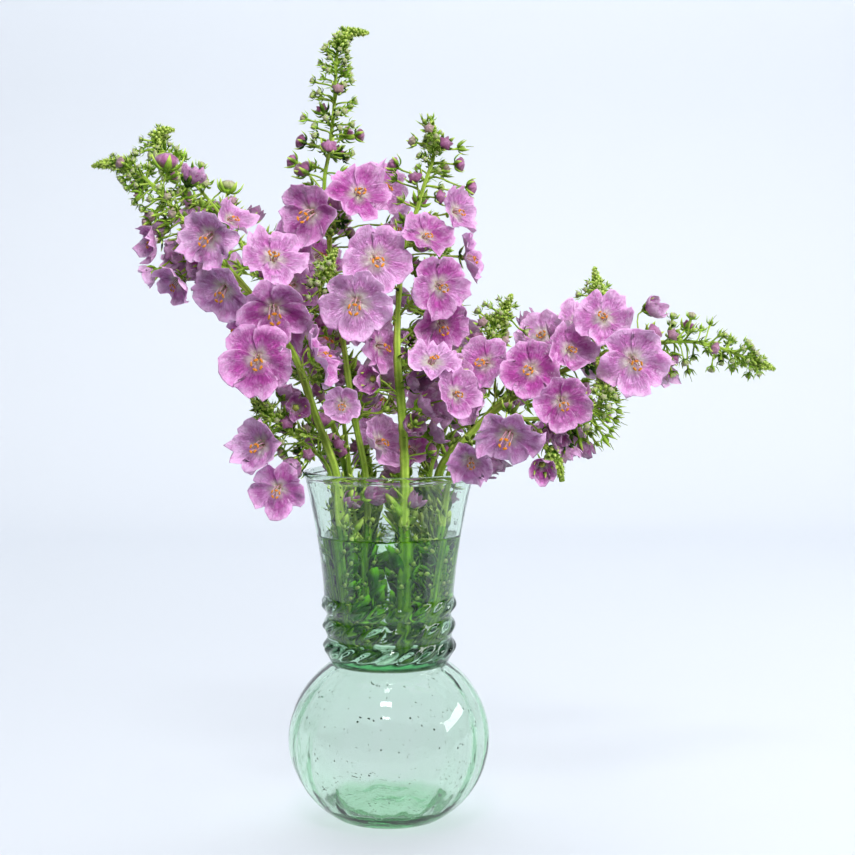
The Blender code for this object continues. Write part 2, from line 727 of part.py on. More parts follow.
def lathe(profile, sides):
    """A turned solid from a profile of radii and heights, low end first.

    A profile end off the axis is closed by a flat fan to a point on the axis.
    """
    profile = list(profile)
    if profile[0][0] > 0:
        profile.insert(0, (0.0, profile[0][1]))
    if profile[-1][0] > 0:
        profile.append((0.0, profile[-1][1]))
    angle = 2 * math.pi * (np.arange(sides) + 0.5) / sides
    points = [np.array([[0.0, 0.0, profile[0][1]]])]
    for radius, z in profile[1:-1]:
        ring = [radius * np.cos(angle), radius * np.sin(angle), np.full(sides, float(z))]
        points.append(np.stack(ring, axis=1))
    points.append(np.array([[0.0, 0.0, profile[-1][1]]]))
    rings = len(profile) - 2
    last = 1 + rings * sides
    faces = []
    for j in range(sides):
        k = (j + 1) % sides
        faces.append((0, 1 + k, 1 + j))
        for i in range(rings - 1):
            a, b = 1 + i * sides + j, 1 + i * sides + k
            faces += [(a, b, b + sides), (a, b + sides, a + sides)]
        faces.append((last, last - sides + j, last - sides + k))
    return np.vstack(points), faces


def vase_profile():
    """The glass from the foot's centre up the outside, over the lip and down to the cup's floor."""
    low = -math.asin(BALL_Z / BALL_HALF)
    high = math.asin((WAIST_Z - 1.5 - BALL_Z) / BALL_HALF)
    profile = [(BALL_R * math.cos(low) - 1.2, 0.0)]
    for angle in np.linspace(low, high, 10):
        profile.append((BALL_R * math.cos(angle), BALL_Z + BALL_HALF * math.sin(angle)))
    profile[1] = (profile[1][0], 0.8)
    heights = [67.6, 71.0]
    heights += [RING_Z + 0.5 * RING_PITCH * i for i in range(6)]
    heights += [110.0, 122.0, 134.0, 147.0]
    profile += [(outer_radius(z), z) for z in heights]
    lip = neck_radius(RIM_Z)
    profile += [(lip + 0.1, 149.3), (lip - 1.0, RIM_Z), (lip - 2.4, 149.0)]
    profile += [(inner_radius(z), z) for z in (134.0, 118.0, 100.0, 78.0)]
    profile += [(inner_radius(78.0) - 1.2, 73.0), (inner_radius(78.0) - 4.0, CUP_FLOOR)]
    profile.append((0.0, CUP_FLOOR))
    return profile


def inner_radius(z):
    """The cup's inner radius at a height."""
    return neck_radius(z) - NECK_WALL


def cavity_profile():
    """The air inside the ball, flattened over the base and under the cup."""
    half = BALL_HALF - BALL_WALL
    low = -math.asin((BALL_Z - BASE_THICK) / half)
    high = math.asin((CAVITY_TOP - BALL_Z) / half)
    profile = []
    for angle in np.linspace(low, high, 8):
        radius = (BALL_R - BALL_WALL) * math.cos(angle)
        profile.append((radius, BALL_Z + half * math.sin(angle)))
    return profile


def water_profile():
    """The water from just above the cup's floor to its level surface."""
    low = inner_radius(78.0)
    profile = [(low - 4.0 - GAP, CUP_FLOOR + GAP), (low - 1.2 - GAP, 73.0 + GAP)]
    profile += [(inner_radius(z) - GAP, z) for z in (78.0, 100.0, 118.0, WATER_TOP)]
    return profile


def material(name, colour, roughness, metallic=0.0):
    """A material with a colour, a roughness and a metallic value."""
    made = bpy.data.materials.new(name)
    made.use_nodes = True
    shader = made.node_tree.nodes["Principled BSDF"]
    shader.inputs["Base Color"].default_value = (*colour, 1.0)
    shader.inputs["Roughness"].default_value = roughness
    shader.inputs["Metallic"].default_value = metallic
    return made


def add_object(name, shape, look, smooth=False, holder=None):
    """Make an object from vertices in millimetres and faces."""
    mesh = bpy.data.meshes.new(name)
    mesh.from_pydata((np.asarray(shape[0]) * MM).tolist(), [], [tuple(f) for f in shape[1]])
    mesh.validate()
    if smooth:
        mesh.shade_smooth()
        mesh.set_sharp_from_angle(angle=math.radians(40))
    mesh.materials.append(look)
    made = bpy.data.objects.new(name, mesh)
    (holder or bpy.context.scene.collection).objects.link(made)
    return made


def settle_modifiers(target):
    """Turn an object's modifiers into its own mesh."""
    bpy.context.view_layer.update()
    seen = target.evaluated_get(bpy.context.evaluated_depsgraph_get())
    mesh = bpy.data.meshes.new_from_object(seen)
    mesh.name = target.name
    target.modifiers.clear()
    old = target.data
    target.data = mesh
    bpy.data.meshes.remove(old)


def fuse(name, shapes, look, operation="UNION", smooth=False):
    """Join or cut the first shape with all the others by one Boolean."""
    target = add_object(name, shapes[0], look, smooth)
    if len(shapes) == 1:
        return target
    holder = bpy.data.collections.new(name + "_pieces")
    for number, shape in enumerate(shapes[1:]):
        add_object(f"{name}_piece_{number}", shape, look, smooth, holder)
    join = target.modifiers.new("join", "BOOLEAN")
    join.operation = operation
    join.operand_type = "COLLECTION"
    join.collection = holder
    join.solver = "EXACT"
    settle_modifiers(target)
    for piece in list(holder.objects):
        bpy.data.objects.remove(piece)
    bpy.data.collections.remove(holder)
    return target


def build_vase(look):
    """The glass: a turned solid with the ball hollowed and a vent through its base."""
    outside = lathe(vase_profile(), VASE_SIDES)
    cavity = lathe(cavity_profile(), VASE_SIDES)
    vent = tube([(0, VENT_Y, -2.0), (0, VENT_Y, BASE_THICK + 4.0)], VENT_R, 8)
    return fuse("vase", [outside, cavity, vent], look, "DIFFERENCE", smooth=True)


def build_water(look):
    """The water in the cup, with a plain hole for each stem."""
    body = lathe(water_profile(), VASE_SIDES)
    holes = []
    for stem in STEMS.values():
        path = stem_path(stem, 4.0)[:2]
        along = unit(path[1] - path[0])
        ends = np.array([path[0] - 2 * RING_H * along, path[1]])
        holes.append(tube(ends, stem.radii[0] + HOLE_GAP, STEM_SIDES))
    return fuse("water", [body, *holes], look, "DIFFERENCE")


def tipped_stem(path, radii, length):
    """A stem that ends in a cone of green buds, which stand out of it turn about."""
    run = np.concatenate([[0.0], np.cumsum(np.linalg.norm(np.diff(path, axis=0), axis=1))])
    below = run < run[-1] - length - 2.0
    line = cone_line(path, length)
    count = round(length / CONE_RING)
    share = np.linspace(0.0, 1.0, count + 1)
    points = np.stack([np.interp(3 * share, range(4), line[:, k]) for k in range(3)], axis=1)
    swell = CONE_R * np.sin(math.pi * (0.22 + 0.76 * share)) + 0.5
    rings = tube_rings(
        np.vstack([path[below], points]), np.concatenate([radii[below], swell]), STEM_SIDES,
        TUBE_GUIDE)
    start = int(below.sum())
    for number in range(start + 1, len(rings)):
        centre = rings[number].mean(axis=0)
        out = (np.arange(STEM_SIDES) + number) % 2 == 0
        reach = np.where(out, CONE_OUT, CONE_IN)[:, None]
        rings[number] = centre + reach * (rings[number] - centre)
    rings[start] = points[0] + radii[-1] / swell[0] * (rings[start] - points[0])
    course = unit(points[-1] - points[-2])
    return loft(rings, points[-1] + 1.6 * course)


def spray_shapes(name, bouquet):
    """Every solid of one stem: the stem, its stalks and their heads, and its cone."""
    stem = STEMS[name]
    path = stem_path(stem, 16.0)
    shapes = [tipped_stem(path, stem_radii(stem, path), stem.cone)]
    for stalk, place, face in bouquet.stalks:
        if stalk.stem == name:
            shapes.append(flower_stalk(stalk.path, stalk.kind, place, face, stalk.size))
    if name == SHOOT_OF:
        shoot = smooth_way(SHOOT_WAY, 9.0)
        shapes.append(tipped_stem(shoot, np.full(len(shoot), SHOOT_R), SHOOT_CONE))
    return shapes


def main():
    """Clear the scene and build every node."""
    for leftover in list(bpy.data.objects):
        bpy.data.objects.remove(leftover)
    glass = material("green_glass", (0.55, 0.78, 0.66), 0.05)
    water = material("water", (0.78, 0.88, 0.8), 0.02)
    green = material("stem_green", (0.22, 0.36, 0.08), 0.6)
    mauve = material("petal_mauve", (0.55, 0.25, 0.56), 0.55)
    build_vase(glass)
    build_water(water)
    bouquet = layout()
    for name in STEMS:
        fuse("spray_" + name, spray_shapes(name, bouquet), green)
    singles = [n for n in range(len(bouquet.blooms)) if n not in bouquet.partners]
    for number, single in enumerate(singles):
        group = [single] + [b for b, a in bouquet.partners.items() if a == single]
        shapes = [corolla(bouquet.blooms[n]) for n in group]
        fuse(f"bloom_{number + 1:02d}", shapes, mauve)


if __name__ == "__main__":
    main()
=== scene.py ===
"""Purple mullein in a ball-footed glass vase, in full detail.

Twelve cut stems of mullein stand in the closed cup of a blown glass vase. The
layout finds every flower, bud and stalk where the solids have them, and the
classes after it make the fine surfaces: ribbed and hairy stems, waved petals with
their stamens, buds in star-shaped calyces, cones of young buds, the ribbed glass
with its bubbles, and the water in the neck.

Lengths are millimetres until a mesh is made from them. The vase's foot is centred
on the origin, +Z is up and the front of the bouquet faces -Y.
"""
from __future__ import annotations

import logging
import math
from collections.abc import Sequence
from dataclasses import dataclass, field
from enum import Enum

import bpy
import numpy as np
from mathutils import Matrix, Vector
from mathutils.bvhtree import BVHTree


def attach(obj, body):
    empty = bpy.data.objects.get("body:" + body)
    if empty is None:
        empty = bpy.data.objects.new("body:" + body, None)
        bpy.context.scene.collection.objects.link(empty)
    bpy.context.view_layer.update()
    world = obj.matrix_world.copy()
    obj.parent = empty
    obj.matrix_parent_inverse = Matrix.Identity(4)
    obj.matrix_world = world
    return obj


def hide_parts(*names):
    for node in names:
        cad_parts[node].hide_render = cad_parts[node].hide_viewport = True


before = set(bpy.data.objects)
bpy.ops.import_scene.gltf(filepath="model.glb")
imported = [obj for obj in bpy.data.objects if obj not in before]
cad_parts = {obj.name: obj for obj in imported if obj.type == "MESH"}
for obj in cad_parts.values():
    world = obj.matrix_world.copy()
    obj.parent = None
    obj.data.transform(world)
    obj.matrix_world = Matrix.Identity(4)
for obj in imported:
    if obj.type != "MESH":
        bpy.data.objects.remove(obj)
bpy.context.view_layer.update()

log = logging.getLogger("mullein")

Array = np.ndarray
Shape = tuple[Array, list]

MM = 0.001
GAP = 0.3
UP = np.array([0.0, 0.0, 1.0])
GOLDEN = math.radians(137.508)
GOLDEN_SHARE = 0.618
TUBE_GUIDE = np.array([0.9, 0.35, 0.2])

# Vase: an oblate ball cut flat at the foot, and a neck that flares to the rim.
BALL_R = 43.2
BALL_HALF = 40.0
BALL_Z = 34.5
BALL_WALL = 3.2
WAIST_Z = 67.0
WAIST_CUT = 1.9
NECK_R = 26.9
NECK_STEP = 0.7
FLARE_Z = 88.0
FLARE = 8.9
RIM_Z = 150.0
NECK_WALL = 2.6
RING_Z = 74.4
RING_PITCH = 9.05
RING_H = 1.5
CUP_FLOOR = 71.5
CUP_WALL_Z = 78.0
WATER_TOP = 122.0

# Stems: straight up to a height above the water, ending in cones of buds.
STRAIGHT_TO = 128.0
STEM_SIDES = 6
CONE_ROOM = (4.0, 4.6, 3.6, 1.4)
SHOOT_R = 1.1

# Flowers: five joined petals, the lowest the largest. A throat, a notch and a
# lobe's size are shares of the corolla's radius. The sepals' top lies a seat's
# depth behind the throat.
PETAL_THICK = 0.85
LOBES = 5
LOBE_SIZE = (1.0, 0.97, 0.88, 0.88, 0.97)
LOBE_CORNERS = (-36.0, -19.0, 19.0)
THROAT = 0.42
NOTCH = 0.27
SEAT = 1.75
SEPAL_R = 4.4
SEPAL_THICK = 0.15
STALK_R = 0.65
STALK_SIDES = 3
LONGEST_STALK = 42.0
FINE_FROM = 3.1
BARE_FRONT = ("left_front", "tall_thin", "centre_thick", "right_long", "right_low")
STALK_BACKS = (9.0, 5.0, 13.0, 1.0, 17.0, 22.0, 28.0)

# Room kept free round stems and stalks, and round petals. Petals that are
# pressed together still stay clear of each other's middle by the press.
SLEEVE = 0.9
CLEAR = 0.8
PRESS = 2.5


class Kind(Enum):
    """What a stalk carries."""

    OPEN = "open"
    HALF = "half"
    BUD = "bud"
    SPENT = "spent"
    WITHERED = "withered"


@dataclass(frozen=True)
class Stem:
    """One cut stem: its foot, radii, cone length, flowering stretch and way."""

    foot: tuple[float, float]
    radii: tuple[float, float]
    cone: float
    flowers: tuple[float, float]
    way: tuple[tuple[float, float, float], ...]


@dataclass(frozen=True)
class Bloom:
    """An open flower: its stem, throat, direction, radius, cup angle and seed."""

    stem: str
    place: Array
    face: Array
    size: float
    cup: float
    seed: int


STEMS: dict[str, Stem] = {
    "left_front": Stem((-13, -8), (2.1, 0.9), 17, (70, 165), (
        (-22, -12, 150), (-30, -18, 174), (-38, -20, 198), (-49, -20, 215), (-61, -18, 230),
        (-76, -14, 246), (-93, -8, 264), (-103, -4, 274), (-113, 0, 280), (-126, 4, 279))),
    "left_back": Stem((-12, 6), (1.7, 0.8), 13, (60, 150), (
        (-19, 9, 150), (-29, 16, 179), (-44, 22, 209), (-56, 26, 231), (-68, 28, 251),
        (-81, 28, 268), (-92, 26, 280), (-100, 24, 289), (-100, 22, 295), (-93, 20, 296))),
    "tall_thin": Stem((-7, -4), (1.7, 0.8), 16, (85, 130), (
        (-10, -6, 150), (-15, -11, 177), (-19, -12, 206), (-23, -10, 226), (-25, -6, 250),
        (-27, -2, 271), (-25, 0, 285), (-23, 0, 302), (-22, 0, 317), (-21, 0, 328),
        (-17, 0, 334), (-8, 0, 334))),
    "centre_thick": Stem((5, -12), (2.4, 1.0), 12, (40, 118), (
        (7, -16, 150), (6, -18, 173), (4, -18, 197), (4, -14, 214), (5, -8, 231),
        (7, -6, 247), (11, -6, 257), (15, -6, 270), (19, -6, 283), (18, -6, 297))),
    "mid_short": Stem((-10, 0), (1.4, 0.8), 14, (22, 60), (
        (-17, 2, 150), (-21, 4, 180), (-26, -4, 206), (-28, -20, 222), (-25, -30, 234),
        (-20, -34, 243))),
    "right_small": Stem((10, 3), (1.4, 0.8), 14, (18, 54), (
        (18, 6, 150), (24, 12, 166), (31, 16, 186), (42, 16, 205), (47, 16, 213), (53, 12, 225))),
    "right_upright": Stem((13, 9), (1.7, 0.8), 14, (30, 90), (
        (22, 14, 150), (38, 24, 167), (57, 29, 187), (75, 30, 204), (86, 26, 213),
        (91, 23, 223), (89, 20, 237))),
    "right_long": Stem((13, -2), (2.1, 0.8), 13, (30, 100), (
        (22, -3, 150), (32, -6, 163), (47, -11, 178), (66, -14, 189), (78, -14, 195),
        (93, -14, 201), (111, -12, 204), (123, -10, 205), (133, -8, 204), (143, -6, 201),
        (153, -4, 197), (164, -2, 193))),
    "right_low": Stem((12, -9), (1.7, 0.8), 15, (16, 62), (
        (26, -13, 151), (34, -18, 162), (41, -23, 169), (51, -28, 173), (64, -31, 174),
        (77, -31, 175), (86, -29, 179), (90, -27, 187), (86, -26, 199))),
    "left_low": Stem((-15, -1), (1.5, 0.8), 10, (8, 34), (
        (-26, -2, 151), (-37, -8, 163), (-46, -14, 171), (-57, -18, 182))),
    "back_left": Stem((-6, 11), (1.7, 0.8), 14, (24, 100), (
        (-9, 17, 150), (-18, 28, 175), (-31, 38, 200), (-44, 44, 220), (-57, 46, 237),
        (-69, 45, 250))),
    "back_right": Stem((4, 10), (1.7, 0.8), 14, (24, 96), (
        (8, 16, 150), (12, 29, 178), (16, 39, 204), (20, 45, 227), (22, 47, 246),
        (20, 47, 262))),
}

# Side shoot of a stem: it hangs below the rim's right end.
SHOOT_OF = "right_low"
SHOOT_CONE = 13
SHOOT_WAY = ((50, -27.7, 172.6), (58, -34, 168), (65, -38, 162), (69, -39, 156), (71, -38, 149))

# Open flowers of the front and sides: stem, throat, turn and lift of the face in
# degrees, radius, and how far the petals stand forward in radians.
SHOW_BLOOMS = (
    ("left_front", (-52, -38, 199), (-5, -8), 16.5, 0.22),
    ("left_front", (-45, -40, 217), (8, -18), 16.0, 0.25),
    ("left_front", (-67, -32, 226), (-30, -30), 15.0, 0.30),
    ("left_front", (-46, -32, 239), (15, 38), 15.0, 0.25),
    ("left_back", (-62, 2, 210), (-60, -10), 15.0, 0.30),
    ("left_back", (-41, 6, 229), (20, 8), 14.0, 0.30),
    ("left_front", (-87, -20, 230), (-50, -35), 11.5, 0.45),
    ("left_front", (-97, -14, 247), (-70, -15), 10.5, 0.50),
    ("left_front", (-66, -10, 256), (55, 25), 10.5, 0.50),
    ("tall_thin", (-12, -20, 266), (15, 28), 15.0, 0.25),
    ("tall_thin", (-29, -24, 258), (-28, 5), 15.0, 0.25),
    ("tall_thin", (-41, -10, 246), (-50, 0), 14.0, 0.30),
    ("tall_thin", (-3, 6, 270), (60, 20), 13.5, 0.30),
    ("tall_thin", (-34, -16, 232), (-25, -8), 14.0, 0.30),
    ("centre_thick", (-5, -28, 239), (3, 4), 16.5, 0.20),
    ("centre_thick", (-12, -35, 222), (-6, -14), 16.5, 0.22),
    ("centre_thick", (21, -26, 228), (25, 5), 14.5, 0.25),
    ("centre_thick", (28, -14, 259), (50, 12), 12.0, 0.40),
    ("centre_thick", (33, -6, 243), (80, 0), 12.5, 0.35),
    ("centre_thick", (16, -24, 246), (30, 15), 12.5, 0.30),
    ("centre_thick", (23, -20, 211), (30, -20), 13.5, 0.30),
    ("centre_thick", (18, -30, 197), (15, 50), 12.5, 0.30),
    ("left_back", (-34, 14, 205), (10, 0), 14.0, 0.40),
    ("left_low", (-45, -26, 145), (-12, -12), 13.0, 0.30),
    ("left_low", (-52, -24, 163), (-25, 5), 14.0, 0.30),
    ("right_long", (100, -30, 198), (5, -4), 16.0, 0.22),
    ("right_long", (89, -22, 215), (0, 45), 14.0, 0.30),
    ("right_upright", (66, 14, 207), (-20, 25), 13.0, 0.45),
    ("right_long", (59, -24, 194), (-8, 10), 14.0, 0.35),
    ("right_low", (49, -46, 169), (-20, -35), 15.0, 0.25),
    ("right_long", (40, -14, 197), (-30, 20), 13.0, 0.35),
    ("right_low", (70, -44, 182), (10, -10), 13.0, 0.40),
    ("right_low", (34, -30, 157), (-10, -25), 11.5, 0.40),
    ("tall_thin", (-18, -32, 180), (-5, 0), 9.5, 0.50),
)

# Open flowers with a second one pressed against their petals' edge: the number
# of the first in the list above, and the side in degrees.
BESIDE = {
    2: 150, 3: 20, 5: -60, 12: -60, 13: -100, 20: -110, 21: -60, 22: -120, 27: 30, 28: -45,
    30: -120,
}

# Half-open flowers: stem, place, turn and lift, radius.
SHOW_HALF = (
    ("right_long", (110, -10, 219), (60, 15), 7.0),
    ("left_front", (-73, -32, 238), (-5, -25), 7.5),
    ("right_long", (115, -12, 193), (60, -25), 7.5),
    ("right_low", (62, -46, 159), (0, -30), 7.0),
    ("centre_thick", (-8, -30, 190), (-25, 0), 7.5),
    ("left_low", (-38, -20, 178), (10, 10), 7.0),
)

# Small heads that stand where the photograph shows them: the first letter of the
# kind, the size and the place of each.
SHOW_SMALL = {
    "tall_thin": """
        B 1.9 -22 -5 332, B 2.2 -27 -4 327, B 2.2 -29 2 322, B 2.4 -25 -6 318, B 2.5 -32 -2 314,
        B 2.3 -28 4 316, B 2.4 -15 -3 314, B 2.4 -18 -5 312, B 2.4 -22 7 311, B 2.6 -29 -5 309,
        B 2.6 -32 -2 308, B 2.6 -14 2 306, B 2.8 -18 -6 301, B 2.6 -21 -7 300, B 3 -36 2 299,
        B 2.9 -26 -8 298, B 2.7 -15 -3 296, B 3.6 -12 2 292, B 2.8 -31 -5 291, B 3.8 -37 -1 289,
        B 4.1 -22 8 285, B 2.6 -27 -7 285, B 2.6 -15 -2 284, B 3.7 -41 1 281, B 3.5 -38 -3 277,
        B 2.1 -18 -5 322, B 2.2 -16 3 320, B 1.9 -17 -4 326, B 2.6 -20 -6 294""",
    "centre_thick": """
        B 3.3 17 -15 293, B 3.9 24 -14 287, S 3.4 31 -4 286, B 3.8 30 -8 279, B 3.9 35 -8 269,
        B 4.1 2 -4 279, B 3.2 10 -11 288, B 3.7 22 -12 265, S 3.2 24 1 275, S 3 15 -14 296,
        S 3.2 2 -8 273, B 2.4 18 1 299, S 3 28 -8 268, B 2.6 20 -13 290, W 7 12 -10 210,
        H 8 17 -19 204, W 7.5 23 -18 207, S 3.4 15 -17 195, W 7.5 11 -25 188, H 8 20 -20 193,
        W 7.5 25 -17 184, H 8 15 -22 179, S 3.2 9 -25 202, S 3.3 22 -16 176, H 7.5 28 -20 193,
        W 7 10 -26 171, H 7.5 19 -16 167""",
    "right_long": """
        B 2.9 119 -12 216, B 3 127 -11 216, S 2.8 136 -6 213, S 2.8 127 -15 210,
        B 3.6 118 -19 208, B 2.7 145 0 206, S 2.6 139 -12 208, B 2.5 151 -9 205,
        B 2.9 138 1 201, B 2.2 155 -9 200, B 3 124 -14 196, S 2.9 121 -5 198, B 2.9 136 -8 193,
        S 2.9 126 -11 192, B 2.8 146 0 193, B 3.6 113 -14 192, B 2.8 119 -13 191,
        B 2.6 153 1 190, B 2.2 156 -8 191, S 2.5 131 -15 205, B 2.4 150 2 196, B 1.9 157 -8 197""",
    "right_low": """
        S 3 97 -31 182, S 3.2 94 -30 173, S 3.6 90 -28 165, S 2.9 95 -31 177, S 3.1 83 -34 167,
        S 3.2 76 -26 166, S 3.2 71 -33 164, B 3.7 67 -39 171, B 3.6 73 -23 176,
        B 2.9 81 -37 171, H 6.2 74 -33 161, W 5.6 80 -29 163, B 3.2 66 -33 161,
        S 3.2 86 -35 170, H 7 76 -24 168, W 6 79 -38 180, W 6 69 -38 167, H 5.8 84 -21 177,
        H 6.5 77 -36 184, S 2.8 92 -31 169, S 2.6 86 -29 163, B 2.8 90 -35 179,
        B 2.7 88 -35 183, S 2.8 85 -23 172, B 2.4 91 -34 186, B 2.5 81 -32 185,
        B 2.4 86 -21 187, B 2.5 93 -33 183, S 2.8 78 -38 176, B 3 77 -23 171""",
    "left_front": """
        B 2.4 -105 -10 270, B 2.4 -110 -5 269, B 2.6 -107 -4 263, B 2.8 -103 -9 260,
        B 3 -91 -16 265, B 2.5 -100 1 276, B 2.2 -113 -4 273, B 2.3 -108 -8 274,
        B 2.5 -103 2 272, B 2.7 -95 -13 269, B 2.8 -99 -13 264, B 3 -96 -1 261,
        B 3.2 -98 -14 257, B 3.4 -101 -10 254, B 3.5 -94 -3 255, S 3.2 -95 -12 250,
        S 3 -87 -18 261, W 6 -97 -8 251, B 3.2 -89 -18 258, W 6.5 -91 -14 243, H 6 -96 -10 241,
        S 3.2 -87 -18 247, B 3.5 -83 -20 252, H 7 -87 -11 242, H 6.5 -80 -21 247,
        H 6.5 -93 -15 236, W 7 -84 -13 235, H 7 -77 -21 238, W 6 -88 -16 229, H 6 -90 -11 238,
        H 7.5 -79 -18 230, W 6.5 -75 -21 232, B 2.1 -115 6 277, B 2.2 -104 -8 278""",
    "left_back": """
        B 2.4 -108 22 287, B 2.5 -101 18 285, B 2.2 -107 28 290, B 2.6 -98 18 283,
        B 2.2 -111 22 287, B 2.6 -105 28 282, B 2.8 -96 18 279, B 3 -92 19 275,
        B 3.4 -92 35 271, B 2.8 -98 21 275, B 3.5 -88 21 266, B 3.6 -86 35 262, B 2 -108 21 292,
        B 2.9 -95 24 269, B 3.2 -82 36 259, H 6 -88 27 258, H 7 -83 27 252, W 6.5 -79 35 254,
        H 5.5 -93 26 260, H 7 -76 22 249, W 7 -80 30 246, H 7 -73 23 243""",
    "right_upright": """
        B 2.5 84 19 222, B 2.4 88 17 220, B 2.5 95 30 222, B 2.3 97 19 224, B 2.2 85 18 227,
        B 2.1 96 26 229, B 2.6 82 21 225, B 3 92 16 218, B 1.9 91 26 232, B 2 86 17 230,
        B 2.2 91 16 226""",
    "right_small": """
        B 2.8 38 14 218, B 3.4 40 9 213, B 3.2 50 24 212, B 2.6 54 12 210, B 3.3 50 9 205,
        B 3 37 22 209, B 2.2 48 9 217, B 2.2 43 12 220, B 2.4 53 20 215, B 2.1 41 13 221,
        S 2.8 45 9 207, B 2 55 18 220, B 1.9 47 10 223, B 1.8 51 8 223""",
    "left_low": """
        S 3 -52 -25 181, S 2.8 -54 -24 178, S 3.2 -51 -10 184, B 3 -54 -22 170, S 3 -49 -23 173,
        B 3.2 -45 -7 175, H 7 -43 -17 184, S 3 -46 -19 188, W 6.5 -40 -13 180,
        W 6.5 -37 -16 185, H 7 -48 -21 167, W 7 -43 -4 169, S 3 -52 -17 164, H 7 -38 -18 176""",
    "mid_short": """
        B 2.4 -23 -39 237, B 2.4 -26 -37 235, S 2.8 -22 -23 234, B 2.8 -28 -34 229,
        S 3 -20 -33 229, H 8 -14 1 200, W 7.5 -16 -6 195, W 7 -18 -9 206, H 7.5 -12 4 192,
        W 7 -20 -6 190, H 8 -16 -4 184, W 7 -10 6 180, S 3.2 -19 -5 176, S 3 -7 2 185""",
}

# Open flowers set by rule on each stem's free sides, and small things' spacing.
FILL_BLOOMS = {
    "left_front": 1, "left_back": 2, "tall_thin": 1, "centre_thick": 1, "mid_short": 1,
    "right_small": 1, "right_upright": 1, "right_long": 1, "back_left": 3, "back_right": 3,
}
FILL_REACH = 15.0
FILL_SIZE = 14.5
FILL_CUP = 0.28
MAX_NODES = 46
MAX_PAIRS = 16
SMALL_REACH = 13.0
BUD_SPACING = 9.0
BUD_SIZE = 5.0
SPENT_SPACING = 26.0
SPENT_SIZE = 3.4

# How large a head is drawn for its solid's size: buds and empty calyces are slimmer.
DRAWN = {Kind.OPEN: 15.0, Kind.BUD: 0.97, Kind.SPENT: 0.95}

# A stem's looks by number. The wet looks of skin and sepals come four places later; they
# have no gloss, and their darker colours are painted shade under the water.
SKIN_LOOK, SEPAL_LOOK, CONE_LOOK, DOWN_LOOK, WET_SHADED_LOOKS = range(5)


def unit(vector: Array) -> Array:
    """The vector at length one."""
    return vector / np.linalg.norm(vector)


def units(vectors: Array) -> Array:
    """Each row at length one."""
    return vectors / np.linalg.norm(vectors, axis=-1, keepdims=True)


def round_angles(count: int) -> Array:
    """Even angles once round."""
    return 2 * math.pi * np.arange(count) / count


def around(angle: float | Array, first: Array, second: Array) -> Array:
    """The direction at an angle, or at each of many, from the first towards the second."""
    kit = np if isinstance(angle, Array) else math
    return kit.cos(angle) * first + kit.sin(angle) * second


def turned_grid(radius: Array, angle: Array, z: Array) -> Array:
    """Points at radii, angles and heights."""
    flat = radius * np.cos(angle), radius * np.sin(angle)
    return np.stack(np.broadcast_arrays(*flat, z), axis=-1)


def points_at(path: Array, run: Array, at: float | Array) -> Array:
    """A path's points at lengths, given the length at each of its samples."""
    return np.stack([np.interp(at, run, path[:, k]) for k in range(3)], axis=-1)


def run_of(path: Array) -> Array:
    """The length along a path at each of its samples."""
    return np.concatenate([[0.0], np.cumsum(np.linalg.norm(np.diff(path, axis=0), axis=1))])


def smooth_step(share: Array) -> Array:
    """A smooth step from 0 to 1."""
    share = np.clip(share, 0, 1)
    return share * share * (3 - 2 * share)


def curve_through(controls: Sequence, t: Array) -> Array:
    """A cubic curve at shares t of its way, from its four control points."""
    root, b, c, end = controls
    return (1 - t)**3 * root + 3 * (1 - t)**2 * t * b + 3 * (1 - t) * t**2 * c + t**3 * end


def square_to(axis: Array, guide: Array) -> tuple[Array, Array]:
    """Two directions square to an axis.

    Args:
        axis: The unit axis.
        guide: What the first direction comes as near to as it can.

    Returns:
        The first direction, and the axis crossed with it.
    """
    first = guide - axis * (guide @ axis)
    if np.linalg.norm(first) < 0.05:
        first = np.array([0.0, 1.0, 0.0]) - axis * axis[1]
    first = unit(first)
    return first, np.cross(axis, first)


def head_axes(faces: Array, turns: float | Array = 0.0) -> Array:
    """Right, up and forward for many heads.

    Args:
        faces: Their directions, one row each.
        turns: How far each is turned about its own direction, in radians.

    Returns:
        One 3 by 3 array of rows for each head.
    """
    up = UP - faces * (faces @ UP)[:, None]
    flat = np.linalg.norm(up, axis=1) < 0.05
    up[flat] = np.array([0.0, 1.0, 0.0]) - faces[flat] * faces[flat, 1:2]
    up = units(up)
    turned = around(np.broadcast_to(turns, len(faces))[:, None], np.cross(up, faces), up)
    return np.stack([turned, np.cross(faces, turned), faces], axis=1)


def smooth_way(points: Sequence, step: float, before: Array | None = None) -> Array:
    """A curve through points, a cubic from each to the next.

    Args:
        points: The points to pass through.
        step: About how far apart the samples are.
        before: A point that sets the first course, or None for a straight start.

    Returns:
        The samples, one row each.
    """
    points = np.array(points, float)
    before = 2 * points[0] - points[1] if before is None else before
    chain = np.vstack([before, points, 2 * points[-1] - points[-2]])
    samples = []
    for a, b, c, d in zip(chain[:-3], chain[1:-2], chain[2:-1], chain[3:]):
        count = max(1, round(np.linalg.norm(c - b) / step))
        t = (np.arange(count) / count)[:, None]
        curve = 2 * b + (c - a) * t + (2 * a - 5 * b + 4 * c - d) * t**2
        samples.append(0.5 * (curve + (3 * b - a - 3 * c + d) * t**3))
    return np.vstack([*samples, points[-1:]])


def stem_path(stem: Stem, step: float) -> Array:
    """A stem's centre line: straight through the water, then its own way.

    Args:
        stem: The stem.
        step: About how far apart the samples are.

    Returns:
        The samples from foot to tip.
    """
    foot = np.array([*stem.foot, CUP_FLOOR + GAP])
    rim = np.array(stem.way[0], float)
    bend = foot + (rim - foot) / (rim[2] - foot[2]) * (STRAIGHT_TO - foot[2])
    return np.vstack([foot, smooth_way([bend, *stem.way], step, bend - (rim - bend))])


